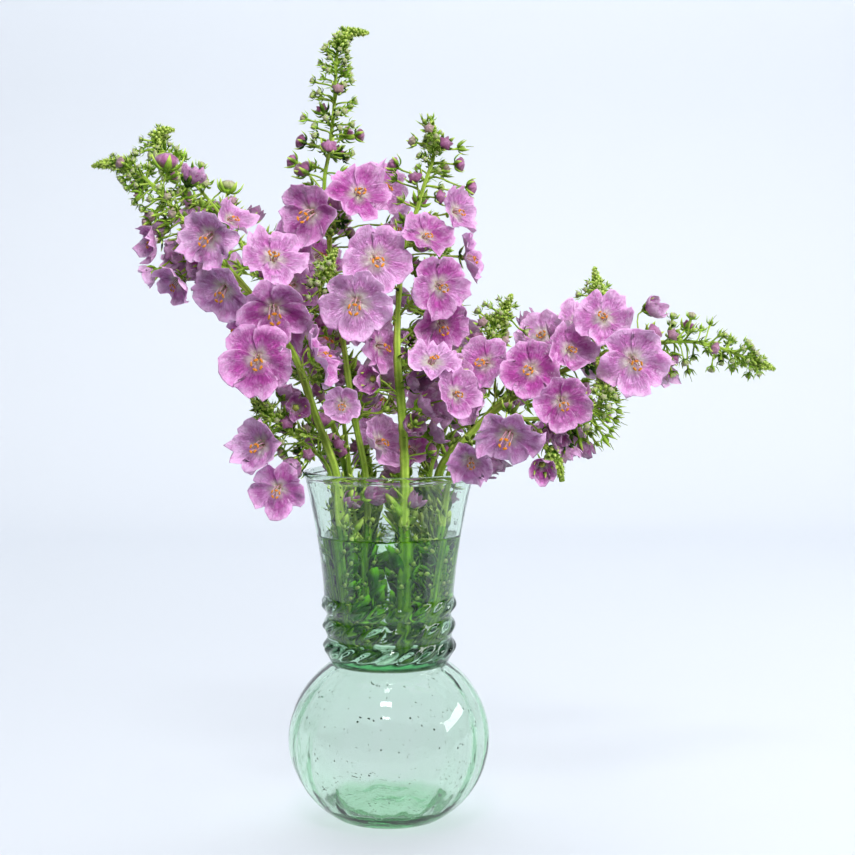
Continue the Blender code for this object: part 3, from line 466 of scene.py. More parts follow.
def stem_radii(stem: Stem, path: Array) -> Array:
    """A radius for each sample: foot to tip by the share of the length to the power 1.5."""
    run = run_of(path)
    return stem.radii[0] + (stem.radii[1] - stem.radii[0]) * (run / run[-1])**1.5


class Way:
    """A centre line that is read by its length above the rim."""

    def __init__(self, path: Array) -> None:
        """Measure the path, and where it passes the rim.

        Args:
            path: The centre line, foot first.
        """
        self.path, self.run = path, run_of(path)
        self.rim = np.interp(RIM_Z, path[:3, 2], self.run[:3])
        self.length = self.run[-1] - self.rim

    def point(self, above: float | Array) -> Array:
        """The point a length above the rim."""
        return points_at(self.path, self.run, above + self.rim)

    def course(self, above: float) -> Array:
        """The direction of growth there."""
        return unit(self.point(above + 3.0) - self.point(above - 3.0))

    def nearest(self, place: Array) -> float:
        """The length above the rim of the point nearest to a place."""
        run = np.arange(4.0, self.length - 4.0, 1.0)
        return run[np.argmin(np.linalg.norm(self.point(run) - place, axis=1))]


def bridge(a: int, a_count: int, b: int, b_count: int) -> list[tuple[int, int, int]]:
    """Triangles between two rings that start at the same side.

    Args:
        a: The first ring's first vertex.
        a_count: Its number of vertices.
        b: The second ring's first vertex.
        b_count: Its number of vertices.

    Returns:
        The triangles.
    """
    faces = []
    i = j = 0
    while i < a_count or j < b_count:
        if j == b_count or (i < a_count and (i + 1) * b_count <= (j + 1) * a_count):
            faces.append((a + i, a + (i + 1) % a_count, b + j % b_count))
            i += 1
        else:
            faces.append((a + i % a_count, b + (j + 1) % b_count, b + j))
            j += 1
    return faces


def loft(rings: list[Array], apex: Array | None = None) -> Shape:
    """A closed coarse solid through rings, which ends at the apex or flat.

    Args:
        rings: The rings, low end first.
        apex: The end point, or None for a flat end.

    Returns:
        The vertices and triangles.
    """
    starts = [int(s) for s in np.concatenate([[0], np.cumsum([len(ring) for ring in rings])])]
    faces = [(0, j + 1, j) for j in range(1, len(rings[0]) - 1)]
    for i in range(len(rings) - 1):
        faces += bridge(starts[i], len(rings[i]), starts[i + 1], len(rings[i + 1]))
    last, count, end = starts[-2], len(rings[-1]), starts[-1]
    if apex is None:
        faces += [(last, last + j, last + j + 1) for j in range(1, count - 1)]
        return np.vstack(rings), faces
    faces += [(last + j, last + (j + 1) % count, end) for j in range(count)]
    return np.vstack([*rings, apex]), faces


def ring_of(place: Array, first: Array, second: Array, radius: float, count: int) -> Array:
    """Points round a place, the first of them towards the first direction."""
    return place + radius * around(round_angles(count)[:, None], first, second)


def tube_rings(path: Array, radii: float | Array, sides: int, first: Array) -> list[Array]:
    """Rings along a path that don't twist, each square to the path.

    Args:
        path: The centre line.
        radii: One radius, or one for each sample.
        sides: Vertices in a ring.
        first: What the first ring's first vertex points nearest to.

    Returns:
        The rings.
    """
    path, rings = np.asarray(path, float), []
    course = units(np.gradient(path, axis=0))
    for point, way, radius in zip(path, course, np.broadcast_to(radii, len(path))):
        first = unit(first - way * (first @ way))
        rings.append(ring_of(point, first, np.cross(way, first), radius, sides))
    return rings


def tube(path: Array, radii: float | Array, sides: int) -> Shape:
    """A closed coarse tube round a path."""
    return loft(tube_rings(path, radii, sides, TUBE_GUIDE))


def star_ring(place: Array, face: Array, tips: tuple[float, float],
              notches: tuple[float, float]) -> Array:
    """Five tips between five notches, each given by its radius and height, round a face.

    Args:
        place: The middle.
        face: The direction that it looks in.
        tips: The tips' radius and height.
        notches: The notches' radius and height.

    Returns:
        Ten points, a tip first.
    """
    even = np.arange(2 * LOBES)[:, None] % 2 == 0
    radius, height = (np.where(even, tip, notch) for tip, notch in zip(tips, notches))
    flat = around(math.pi * np.arange(2 * LOBES)[:, None] / LOBES, *square_to(face, UP))
    return place + radius * flat + height * face


def head_rings(kind: Kind, place: Array, face: Array, size: float,
               grow: float) -> tuple[Array, Array]:
    """The coarse ring and top point of what a stalk carries.

    Args:
        kind: What it carries.
        place: The head's place.
        face: Its direction.
        size: Its size.
        grow: Room kept round it.

    Returns:
        The ring and the top point.
    """
    sides, reach = square_to(face, UP), size + grow
    if kind is Kind.OPEN:
        low = place - (SEAT + SEPAL_THICK + 0.4 * grow) * face
        return ring_of(low, *sides, SEPAL_R + grow, LOBES), place - SEAT * face
    if kind is Kind.BUD:
        ring = ring_of(place + 0.1 * size * face, *sides, 0.9 * size + grow, LOBES)
        return ring, place + reach * face
    if kind is Kind.HALF:
        ring = star_ring(place, face, (reach, 0.8 * size + grow), (0.66 * reach, 0.5 * size))
        return ring, place + (0.3 * size + grow) * face
    ring = star_ring(place, face, (1.25 * reach, 0.3 * size), (0.6 * reach, 0.0))
    return ring, place + (0.8 * size + grow) * face


@dataclass(frozen=True)
class Stalk:
    """A flower's stalk, the four controls of its curve, and what it carries."""

    stem: str
    path: Array
    controls: Array
    kind: Kind
    size: float
    place: Array
    face: Array

    @staticmethod
    def grown(stem: str, root: Array, leave: Array, end: Array, samples: int,
              head: tuple) -> Stalk:
        """A stalk that leaves its stem in one direction and enters the head's back.

        Args:
            stem: The stem's name.
            root: Where it leaves the stem.
            leave: Its direction there.
            end: Where it enters the head.
            samples: How many samples its path has.
            head: The head's kind, size, place and face.

        Returns:
            The stalk.
        """
        reach, face = np.linalg.norm(end - root), head[3]
        controls = np.array([root, root + leave * 0.4 * reach, end - face * 0.4 * reach, end])
        path = curve_through(controls, np.linspace(0, 1, samples)[:, None])
        return Stalk(stem, path, controls, *head)

    def shape(self, grow: float = 0.0) -> Shape:
        """The stalk and its head as one closed coarse solid with room kept round it.

        Args:
            grow: How much room.

        Returns:
            The vertices and triangles.
        """
        first = square_to(self.face, UP)[0]
        rings = tube_rings(self.path[::-1], STALK_R + 0.5 * grow, STALK_SIDES, first)[::-1]
        rings = [np.roll(ring[::-1], 1, axis=0) for ring in rings]
        ring, apex = head_rings(self.kind, self.place, self.face, self.size, grow)
        return loft([*rings, ring], apex)


def lobe_between(bloom: Bloom, lobe: Array, across: Array, share: Array) -> tuple:
    """Petals' traits, drawn from the flower's seed, that pass into their neighbours'.

    Args:
        bloom: The flower.
        lobe: The petals' numbers.
        across: Places across the petal from -1 to 1.
        share: The neighbour's share there.

    Returns:
        The petal's size, its lean in radians and its wave.
    """
    rng = np.random.default_rng(bloom.seed)
    leans = bloom.cup + rng.uniform(-0.16, 0.2, LOBES)
    waves = rng.uniform(-0.16, 0.16, LOBES)
    sizes = np.array(LOBE_SIZE) * rng.uniform(0.94, 1.04, LOBES)
    beside = (lobe + np.where(across > 0, 1, -1)) % LOBES
    size, lean = (own[lobe] + (own[beside] - own[lobe]) * share for own in (sizes, leans))
    return size, lean, waves[lobe]


def bloom_axes(face: Array) -> tuple[Array, Array, Array]:
    """Directions to the right, up and forward of a flower."""
    first, second = square_to(face, UP)
    return -second, first, face


def dish_points(bloom: Bloom, theta: Array, reach: Array, angle: Array,
                lift: float | Array = 0.0) -> Array:
    """Points of a flower by their angle round it, reach, angle out of its plane and lift.

    Args:
        bloom: The flower.
        theta: Angles round it.
        reach: Distances from its throat.
        angle: Angles out of its plane.
        lift: What the points are raised by.

    Returns:
        The points.
    """
    right, up, face = bloom_axes(bloom.face)
    flat = around(theta[..., None], right, up) * (reach * np.cos(angle))[..., None]
    return bloom.place + flat + (reach * np.sin(angle) + lift)[..., None] * face


def corolla_front(bloom: Bloom, rho: float, theta: Array, grow: float = 0.0) -> Array:
    """Points of the corolla's plain front.

    The outline is one lobe's size with a notch at its ends, and the lean is the
    lobe's own angle out of the flower's plane with a wave across the lobe. At a
    notch both lobes have the same value, so the edge is one closed curve. A point
    lies a share rho of the outline from the throat, raised by rho times the lean.

    Args:
        bloom: The flower.
        rho: The share of the radius.
        theta: Angles round it.
        grow: What the radius grows by.

    Returns:
        The points.
    """
    turn = (theta + math.pi / 2) / (2 * math.pi / LOBES) + 0.5
    across = 2 * (turn - np.floor(turn)) - 1
    lobe = np.floor(turn).astype(int) % LOBES
    size, lean, wave = lobe_between(bloom, lobe, across, 0.5 * across**4)
    outline = size * (1.02 - NOTCH * np.abs(across)**6)
    lean = lean + wave * np.sin(math.pi * across)
    return dish_points(bloom, theta, rho * (outline * bloom.size + grow), lean * rho)


def corolla(bloom: Bloom, grow: float = 0.0) -> Shape:
    """A flower's five petals as one closed coarse dish that grows all round.

    Args:
        bloom: The flower.
        grow: What it grows by.

    Returns:
        The vertices and triangles.
    """
    step, corners = 2 * math.pi / LOBES, len(LOBE_CORNERS)
    outer = -math.pi / 2 + step * np.arange(LOBES)[:, None] + np.radians(LOBE_CORNERS)
    outer = outer.ravel()
    inner = outer[::corners] + 0.5 * step
    front = np.vstack([bloom.place[None, :], corolla_front(bloom, THROAT, inner, grow),
                       corolla_front(bloom, 1.0, outer, grow)])
    thick = max(PETAL_THICK, 0.62 / math.cos(min(bloom.cup + 0.25, 1.2)))
    pad = max(grow, 0.0)
    back = front - (thick + pad) * bloom.face
    back[0] -= 0.5 * bloom.face
    front = front + pad * bloom.face
    half, count = [], len(front)
    for i in range(LOBES):
        a, b = 1 + i, 1 + (i + 1) % LOBES
        edge = [1 + LOBES + (corners * i + k) % len(outer) for k in range(corners + 1)]
        half += [(0, a, b), (a, edge[-1], b)]
        half += [(a, edge[k], edge[k + 1]) for k in range(corners)]
    faces = half + [(c + count, b + count, a + count) for a, b, c in half]
    for j in range(len(outer)):
        a, b = (1 + LOBES + k % len(outer) for k in (j, j + 1))
        faces += [(b, a, a + count), (b, a + count, b + count)]
    return np.vstack([front, back]), faces


class Room:
    """The room that is taken: a search tree, a box and an owner for each piece."""

    def __init__(self) -> None:
        """Start with nothing taken."""
        self.taken: list[tuple[BVHTree, Array, Array, str | int]] = []

    @staticmethod
    def tree_of(shape: Shape) -> BVHTree:
        """A search tree over a shape's triangles."""
        return BVHTree.FromPolygons(shape[0].tolist(), shape[1])

    def add(self, shape: Shape, owner: str | int) -> None:
        """Take up a shape's room for the stem or flower that it belongs to."""
        points = shape[0]
        self.taken.append((self.tree_of(shape), points.min(axis=0), points.max(axis=0), owner))

    def free(self, shape: Shape, owner: str | int | None = None) -> bool:
        """Whether a shape crosses nothing, apart from what its owner holds.

        Args:
            shape: Vertices and triangles.
            owner: The stem or flower that it belongs to.

        Returns:
            True if it is free.
        """
        low, high = shape[0].min(axis=0), shape[0].max(axis=0)
        tree = None
        for other, other_low, other_high, holder in self.taken:
            if owner is not None and holder == owner:
                continue
            if (low > other_high).any() or (high < other_low).any():
                continue
            tree = tree or self.tree_of(shape)
            if tree.overlap(other):
                return False
        return True


def facing(turn: float, lift: float) -> Array:
    """A direction from its turn to the right of the front and its lift, in degrees.

    Args:
        turn: How far it is turned to the right.
        lift: How far it looks up.

    Returns:
        The unit direction.
    """
    turn, lift = math.radians(turn), math.radians(lift)
    flat = math.cos(lift)
    return np.array([math.sin(turn) * flat, -math.cos(turn) * flat, math.sin(lift)])


def moves() -> list[tuple]:
    """Ways to move a flower a little, the smallest first: ahead, aside, up, turned, lifted.

    Returns:
        The cost of each and its five moves.
    """
    options = []
    for ahead in (0, 2, -2, 4, -4, 6, -6, 8, 11):
        for aside, up in ((0, 0), (2.5, 0), (-2.5, 0), (0, 2.5), (0, -2.5), (4, 3), (-4, -3)):
            for turned, lifted in ((0, 0), (12, 0), (-12, 0), (0, 14), (0, -14)):
                cost = abs(ahead) + abs(aside) + abs(up) + 0.15 * (abs(turned) + abs(lifted))
                options.append((cost, ahead, aside, up, turned, lifted))
    return sorted(options)


def turned_face(face: Array, turned: float, lifted: float) -> Array:
    """A direction turned to the right and lifted by a few degrees.

    Args:
        face: The direction.
        turned: Degrees to the right.
        lifted: Degrees up.

    Returns:
        The new direction.
    """
    turn = math.degrees(math.atan2(face[0], -face[1]))
    lift = math.degrees(math.asin(max(-1.0, min(1.0, face[2]))))
    return facing(turn + turned, max(-85.0, min(85.0, lift + lifted)))


class Bouquet:
    """Places the flowers and stalks so that no piece crosses another one."""

    def __init__(self) -> None:
        """Take up the room of the stems, their cones and the vase."""
        self.room = Room()
        self.ways = {name: Way(stem_path(stem, 4.0)) for name, stem in STEMS.items()}
        self.blooms: list[Bloom] = []
        self.partners: dict[int, int] = {}
        self.stalks: list[Stalk] = []
        for name, stem in STEMS.items():
            path = self.ways[name].path
            self.take_rod(name, path, stem_radii(stem, path), stem.cone)
        self.take_rod(SHOOT_OF, smooth_way(SHOOT_WAY, 4.0), SHOOT_R, SHOOT_CONE)
        self.room.add(lathe([(radius + CLEAR, z) for radius, z in vase_profile()], 24), "vase")

    def take_rod(self, name: str, path: Array, radii: float | Array, cone: float) -> None:
        """Take up the room of a stem or shoot, and of its tip's cone of buds.

        Args:
            name: The stem.
            path: The centre line.
            radii: Its radii.
            cone: The cone's length.
        """
        self.room.add(tube(path, radii + SLEEVE, STEM_SIDES), name)
        run = run_of(path)
        stations = run[-1] - (cone + 2.0) * np.array([1.0, 0.66, 0.33, 0.0])
        self.room.add(tube(points_at(path, run, stations), CONE_ROOM, STEM_SIDES), name)

    def grow_stalk(self, stem: str, head: tuple, dish: BVHTree | None = None,
                   grow: float = SLEEVE, backs: Sequence[float] = STALK_BACKS) -> Stalk | None:
        """Find a free stalk from a stem to a head's back.

        Args:
            stem: The stem's name.
            head: The head's kind, size, place and face.
            dish: The flower's own petals, which the stalk keeps clear of.
            grow: Room kept round it.
            backs: How far below the head to try to leave the stem, in order.

        Returns:
            The stalk, or None where there is no room.
        """
        kind, size, place, face = head
        way = self.ways[stem]
        near = way.nearest(place)
        end = place - face * (SEAT + 2.0 if kind is Kind.OPEN else 0.5 * size)
        for back in backs:
            above = max(3.0, near - back)
            root, course = way.point(above), way.course(above)
            outward, reach = unit(place - root), np.linalg.norm(end - root)
            for rise in (0.5, 1.2, -0.3) if reach <= LONGEST_STALK else ():
                leave = unit(outward + rise * course)
                stalk = Stalk.grown(stem, root, leave, end, 3 if reach < 16.0 else 4, head)
                shape = stalk.shape(grow)
                if not self.room.free(shape, stem):
                    continue
                if dish is None or not dish.overlap(Room.tree_of(tube(stalk.path[:-1], 1.0, 3))):
                    self.room.add(shape, stem)
                    return stalk
        return None

    def take_bloom(self, bloom: Bloom, tree: BVHTree, dish: Shape) -> bool:
        """Keep a flower that has found its place, if it finds a stalk.

        Args:
            bloom: The flower.
            tree: Its petals, which the stalk keeps clear of.
            dish: The room that its petals take.

        Returns:
            True if it is kept.
        """
        stalk = self.grow_stalk(bloom.stem, (Kind.OPEN, 1.0, bloom.place, bloom.face), tree)
        if stalk is None:
            return False
        self.room.add(dish, len(self.blooms))
        self.blooms.append(bloom)
        self.stalks.append(stalk)
        return True

    def place_bloom(self, stem: str, place: Array, face: Array, size: float, cup: float) -> bool:
        """Set an open flower as near as can be to where it is wanted.

        Args:
            stem: The stem's name.
            place: Where its throat is wanted.
            face: The direction that is wanted.
            size: Its radius.
            cup: How far its petals stand forward.

        Returns:
            True if it found a place.
        """
        for scale in (1.0, 0.9, 0.8):
            for _, ahead, aside, up, turned, lifted in moves():
                near = turned_face(face, turned, lifted)
                upward, _ = square_to(near, UP)
                spot = place + ahead * near + aside * np.cross(upward, near) + up * upward
                bloom = Bloom(stem, spot, near, size * scale, cup, 100 + len(self.blooms))
                dish = corolla(bloom, CLEAR)
                if self.room.free(dish) and self.take_bloom(
                        bloom, Room.tree_of(corolla(bloom, 0.2)), dish):
                    return True
        return False

    def place_beside(self, number: int, side: float) -> bool:
        """Set a second flower whose petals' edges meet those of a first.

        Args:
            number: The first flower.
            side: The side in degrees, from its right round over its top.

        Returns:
            True if it found a place.
        """
        first, partner = self.blooms[number], len(self.blooms)
        right, up, face = bloom_axes(first.face)
        own, core = (Room.tree_of(corolla(first, grow)) for grow in (0.0, -PRESS))
        size = first.size * 0.92
        for index in range(24):
            angle = math.radians(side + 15 * ((index + 1) // 2) * (-1)**index)
            aside, tilt = around(angle, right, up), (0.55, 0.25)[index % 2]
            near = around(tilt, face, aside)
            apart = first.size * math.cos(first.cup) + size * math.cos(tilt + first.cup)
            drop = size * math.sin(tilt + first.cup) - first.size * math.sin(first.cup)
            for inward in (0.5, 2.0, 3.5):
                spot = first.place + (apart - inward) * aside - drop * face
                bloom = Bloom(first.stem, spot, near, size, first.cup, 100 + partner)
                plain = Room.tree_of(corolla(bloom))
                if not plain.overlap(own):
                    continue
                if Room.tree_of(corolla(bloom, -PRESS)).overlap(core):
                    break
                dish = corolla(bloom, CLEAR)
                if self.room.free(dish, number) and self.take_bloom(bloom, plain, dish):
                    self.partners[partner] = number
                    return True
        return False

    def place_small(self, stem: str, place: Array, face: Array, kind: Kind, size: float,
                    grow: float = SLEEVE, backs: Sequence[float] = STALK_BACKS) -> None:
        """Set a half-open flower, a bud or an empty calyx and its stalk, if there is room.

        Args:
            stem: The stem's name.
            place: Where it is wanted.
            face: The direction that is wanted.
            kind: What it is.
            size: Its size.
            grow: Room kept round it.
            backs: How far below the head to try to leave the stem, in order.
        """
        for ahead, turned, lifted in ((0, 0, 0), (3, 0, 0), (-3, 0, 0), (2, 20, 0), (2, -20, 0),
                                      (0, 0, 20), (0, 0, -20), (6, 0, 0)):
            near = turned_face(face, turned, lifted)
            stalk = self.grow_stalk(stem, (kind, size, place + ahead * near, near), None, grow,
                                    backs)
            if stalk is not None:
                self.stalks.append(stalk)
                return

    def rule_place(self, stem: str, above: float, index: int, reach: float,
                   rise: float) -> tuple[Array, Array]:
        """A place and face round a stem, each one a golden angle on from the last.

        Args:
            stem: The stem's name.
            above: The length above the rim.
            index: Which one in turn it is.
            reach: How far from the stem.
            rise: How much it leans along the stem.

        Returns:
            The place and the face.
        """
        way = self.ways[stem]
        course = way.course(above)
        face = unit(around(GOLDEN * index, *square_to(course, UP)) + rise * course)
        return way.point(above) + reach * face, face

    def heads(self, kind: Kind, name: str) -> tuple[Array, Array, Array, Array] | None:
        """A stem's heads of one kind, as set_out takes them.

        Args:
            kind: The kind.
            name: The stem's name.

        Returns:
            Places, axes turned at random, sizes and random tones, or None for no head.
        """
        some = [stalk for stalk in self.stalks if stalk.stem == name and stalk.kind is kind]
        if not some:
            return None
        rng = np.random.default_rng(31)
        turns = rng.uniform(0, 2 * math.pi, len(some))
        axes = head_axes(np.array([stalk.face for stalk in some]), turns)
        sizes = np.array([stalk.size for stalk in some]) * DRAWN.get(kind, 1.0)
        return np.array([stalk.place for stalk in some]), axes, sizes, rng.uniform(0, 1, len(some))


def layout() -> Bouquet:
    """The whole bouquet's flowers and stalks, as the solids have them.

    Returns:
        The bouquet.
    """
    bouquet = Bouquet()
    for stem, place, (turn, lift), size, cup in SHOW_BLOOMS:
        bouquet.place_bloom(stem, np.array(place, float), facing(turn, lift), size, cup)
    for stem, place, (turn, lift), size in SHOW_HALF:
        bouquet.place_small(stem, np.array(place, float), facing(turn, lift), Kind.HALF, size)
    fill_blooms(bouquet)
    for number, side in BESIDE.items():
        bouquet.place_beside(number, side)
    for number in range(len(SHOW_BLOOMS), MAX_NODES):
        if len(bouquet.partners) < MAX_PAIRS:
            bouquet.place_beside(number, math.degrees(GOLDEN) * number)
    for name in STEMS:
        fill_small(bouquet, name)
    return bouquet


def fill_blooms(bouquet: Bouquet) -> None:
    """Open flowers by rule, one on each stem in turn, on the sides that are free.

    Args:
        bouquet: The bouquet so far.
    """
    tried = dict.fromkeys(FILL_BLOOMS, 0)
    for wanted in range(max(FILL_BLOOMS.values())):
        for name, count in FILL_BLOOMS.items():
            if wanted >= count or len(bouquet.blooms) >= MAX_NODES:
                continue
            low, high = STEMS[name].flowers
            for _ in range(8):
                index = tried[name]
                tried[name] += 1
                above = low + (high - low) * (GOLDEN_SHARE * index % 1.0)
                place, face = bouquet.rule_place(name, above, index, FILL_REACH, 0.45)
                if bouquet.place_bloom(name, place, face, FILL_SIZE, FILL_CUP):
                    break


def fill_small(bouquet: Bouquet, name: str) -> None:
    """Buds from the flowers up to the cone, and spent flowers all along a stem.

    Args:
        bouquet: The bouquet so far.
        name: The stem's name.
    """
    high = STEMS[name].flowers[1]
    top = bouquet.ways[name].length - STEMS[name].cone - 2.0
    buds = np.arange(high - 8.0, top, BUD_SPACING)
    for index, above in enumerate(buds):
        share = (above - high) / max(1.0, top - high)
        spot = bouquet.rule_place(name, above, index, SMALL_REACH * (1.0 - 0.46 * share), 0.9)
        bouquet.place_small(name, *spot, Kind.BUD, BUD_SIZE * (1.0 - 0.44 * share))
    for index, above in enumerate(np.arange(8.0, high - 8.0, SPENT_SPACING), len(buds)):
        spot = bouquet.rule_place(name, above, index, SMALL_REACH, 0.7)
        bouquet.place_small(name, *spot, Kind.SPENT, SPENT_SIZE)


def neck_radius(z: float | Array) -> Array:
    """The neck's plain radius: a waist, a step over the rings and a flare to the rim.

    Args:
        z: Heights.

    Returns:
        The radii.
    """
    step = np.clip((z - FLARE_Z) / 9.0, 0.0, 1.0)
    flare = np.maximum(0.0, (z - FLARE_Z) / (RIM_Z - FLARE_Z))
    waist = WAIST_CUT * np.exp(-((z - WAIST_Z) / 2.4)**2)
    return NECK_R + NECK_STEP * step * step * (3 - 2 * step) + FLARE * flare**1.7 - waist


def ring_height(z: float | Array) -> Array:
    """How far the three rings stand out: a raised cosine over each.

    Args:
        z: Heights.

    Returns:
        How far, or 0 off the rings.
    """
    turns = (z - RING_Z) / RING_PITCH
    wave = RING_H * 0.5 * (1 + np.cos(2 * math.pi * turns))
    return np.where((turns > -0.5) & (turns < 2.5), wave, 0.0)


def inner_radius(z: float | Array) -> Array:
    """The cup's inner radius at a height."""
    return neck_radius(z) - NECK_WALL


def lathe(profile: list[tuple[float, float]], sides: int) -> Shape:
    """A coarse turned solid.

    Args:
        profile: Radii and heights, low end first.
        sides: Facets round it.

    Returns:
        The vertices and triangles.
    """
    rings = [ring for ring in profile if ring[0] > 0]
    angle = 2 * math.pi * (np.arange(sides) + 0.5) / sides
    points = [np.array([[0.0, 0.0, profile[0][1]]])]
    points += [turned_grid(radius, angle, float(z)) for radius, z in rings]
    points.append(np.array([[0.0, 0.0, profile[-1][1]]]))
    last, faces = 1 + len(rings) * sides, []
    for j in range(sides):
        k = (j + 1) % sides
        faces.append((0, 1 + k, 1 + j))
        for low in range(1, last - sides, sides):
            a, b = low + j, low + k
            faces += [(a, b, b + sides), (a, b + sides, a + sides)]
        faces.append((last, last - sides + j, last - sides + k))
    return np.vstack(points), faces


def vase_profile() -> list[tuple[float, float]]:
    """The glass's coarse profile, from the foot up and over the lip to the cup's floor.

    Returns:
        Radii and heights.
    """
    low = -math.asin(BALL_Z / BALL_HALF)
    high = math.asin((WAIST_Z - 1.5 - BALL_Z) / BALL_HALF)
    profile = [(BALL_R * math.cos(low) - 1.2, 0.0)]
    for angle in np.linspace(low, high, 10):
        profile.append((BALL_R * math.cos(angle), BALL_Z + BALL_HALF * math.sin(angle)))
    profile[1] = (profile[1][0], 0.8)
    heights = [67.6, 71.0, *(RING_Z + 0.5 * RING_PITCH * i for i in range(6)), 110.0, 122.0, 134.0,
               147.0]
    profile += [(float(neck_radius(z) + ring_height(z)), z) for z in heights]
    lip = float(neck_radius(RIM_Z))
    profile += [(lip + 0.1, 149.3), (lip - 1.0, RIM_Z), (lip - 2.4, 149.0)]
    profile += [(float(inner_radius(z)), z) for z in (134.0, 118.0, 100.0, CUP_WALL_Z)]
    floor = profile[-1][0]
    return profile + [(floor - 1.2, 73.0), (floor - 4.0, CUP_FLOOR), (0.0, CUP_FLOOR)]


class Shell:
    """Closed grids of points gathered into one mesh.

    A grid has rows along it and columns around it, counter-clockwise about its own
    course, and both its ends are closed by a fan. Each grid carries a UV map (around,
    along), a tone from 0 to 1 and an age from 0 to 1 for its material to read.
    """

    def __init__(self) -> None:
        """Start empty."""
        self.parts: dict[str, list[Array]] = {}
        self.count = 0

    def take(self, points: Array, faces: Array, uvs: Array, look: int, traits: tuple) -> None:
        """Take in copies of one shape.

        Args:
            points: The points of each copy.
            faces: One copy's triangles.
            uvs: The UV values at their corners.
            look: The material's number.
            traits: The tone and the age, one of each or one for each copy.
        """
        copies, each = points.shape[:2]
        starts = self.count + each * np.arange(copies)[:, None, None]
        new = {"points": points.reshape(-1, 3), "faces": (faces + starts).reshape(-1, 3),
               "uvs": np.tile(uvs.reshape(-1, 2), (copies, 1)),
               "looks": np.full(len(faces) * copies, look)}
        for trait, value in zip(("tone", "age"), traits):
            new[trait] = np.broadcast_to(np.reshape(value, (-1, 1)), (copies, each)).ravel()
        for name, part in new.items():
            self.parts.setdefault(name, []).append(part)
        self.count += each * copies

    def add(self, grid: Array, look: int = 0, tone: float | Array = 0.5, age: float | Array = 0.0,
            turn: Array | None = None, along: Array | None = None, inward: bool = False) -> None:
        """Take in one grid or many alike.

        Args:
            grid: Points of shape (..., rows, columns, 3).
            look: The material's number.
            tone: One tone, or one for each grid.
            age: One age, or one for each grid.
            turn: UV values across the columns, one more than there are columns.
            along: UV values along the rows.
            inward: Whether the faces point into the grid's hollow.
        """
        grid = np.asarray(grid, float)
        grid = grid.reshape(-1, *grid.shape[-3:])
        copies, rows, cols = grid.shape[:3]
        turn = np.linspace(0, 1, cols + 1) if turn is None else turn
        along = np.linspace(0, 1, rows) if along is None else along
        ends = grid.mean(axis=2)
        points = np.concatenate([grid.reshape(copies, -1, 3), ends[:, :1], ends[:, -1:]], axis=1)
        i, j = np.meshgrid(np.arange(rows - 1), np.arange(cols), indexing="ij")
        faces, uvs = [], []
        for half in (((0, 0), (0, 1), (1, 1)), ((0, 0), (1, 1), (1, 0))):
            faces.append(np.stack([(i + p) * cols + (j + q) % cols for p, q in half], axis=-1))
            uvs.append(np.stack([np.stack([turn[j + q], along[i + p]], axis=-1) for p, q in half],
                                axis=-2))
        edge, middle = np.arange(cols), 0.5 * (turn[:-1] + turn[1:])
        for pole, row, sides in ((rows * cols, 0, (1, 0)), (rows * cols + 1, rows - 1, (0, 1))):
            rim = [row * cols + (edge + q) % cols for q in sides]
            faces.append(np.stack([np.full(cols, pole), *rim], axis=1))
            uvs.append(np.stack([np.stack([u, np.full(cols, along[row])], axis=1)
                                 for u in (middle, *(turn[edge + q] for q in sides))], axis=1))
        faces = np.concatenate([part.reshape(-1, 3) for part in faces])
        uvs = np.concatenate([part.reshape(-1, 3, 2) for part in uvs])
        if inward:
            faces, uvs = faces[:, ::-1], uvs[:, ::-1]
        self.take(points, faces, uvs, look, (tone, age))

    def spikes(self, roots: Array, tips: Array, radius: float, look: int) -> None:
        """Take in fine hairs, each a slim pyramid on a triangle.

        Args:
            roots: Where the hairs start.
            tips: Where they end.
            radius: How far a base corner lies from the root.
            look: The material's number.
        """
        axes = head_axes(units(tips - roots))
        ring = around(round_angles(3)[:, None, None], axes[:, 0], axes[:, 1])
        points = np.concatenate([roots + radius * ring, tips[None]]).transpose(1, 0, 2)
        faces = np.array([[0, 2, 1], [0, 1, 3], [1, 2, 3], [2, 0, 3]])
        self.take(points, faces, np.tile([0.5, 0.0], (12, 1)), look, (0.5, 0.0))

    def make(self, name: str, looks: Sequence[bpy.types.Material],
             replaces: Sequence[str] = (), slot: str = "greenery") -> bpy.types.Object:
        """Make the piece, which rides on the root.

        Args:
            name: The piece's name.
            looks: Its materials, by number.
            replaces: The solids that it stands for.
            slot: Not used.

        Returns:
            The object.
        """
        whole = {part: np.concatenate(arrays) for part, arrays in self.parts.items()}
        faces, mesh = whole["faces"], bpy.data.meshes.new(name)
        mesh.vertices.add(self.count)
        mesh.vertices.foreach_set("co", (whole["points"] * MM).astype(np.float32).ravel())
        mesh.loops.add(faces.size)
        mesh.loops.foreach_set("vertex_index", faces.astype(np.int32).ravel())
        mesh.polygons.add(len(faces))
        mesh.polygons.foreach_set("loop_start", np.arange(0, faces.size, 3, dtype=np.int32))
        mesh.polygons.foreach_set("material_index", whole["looks"].astype(np.int32))
        mesh.update(calc_edges=True)
        mesh.shade_smooth()
        uv = mesh.uv_layers.new(name="UVMap")
        uv.uv.foreach_set("vector", whole["uvs"].astype(np.float32).ravel())
        for trait in ("tone", "age"):
            layer = mesh.attributes.new(trait, "FLOAT", "POINT")
            layer.data.foreach_set("value", whole[trait].astype(np.float32))
        for look in looks:
            mesh.materials.append(look)
        piece = add_object(name, mesh)
        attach(piece, "root")
        if replaces:
            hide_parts(*replaces)
        log.info("%s: %d triangles, for %s", name, len(faces), ", ".join(replaces) or "no solid")
        return piece


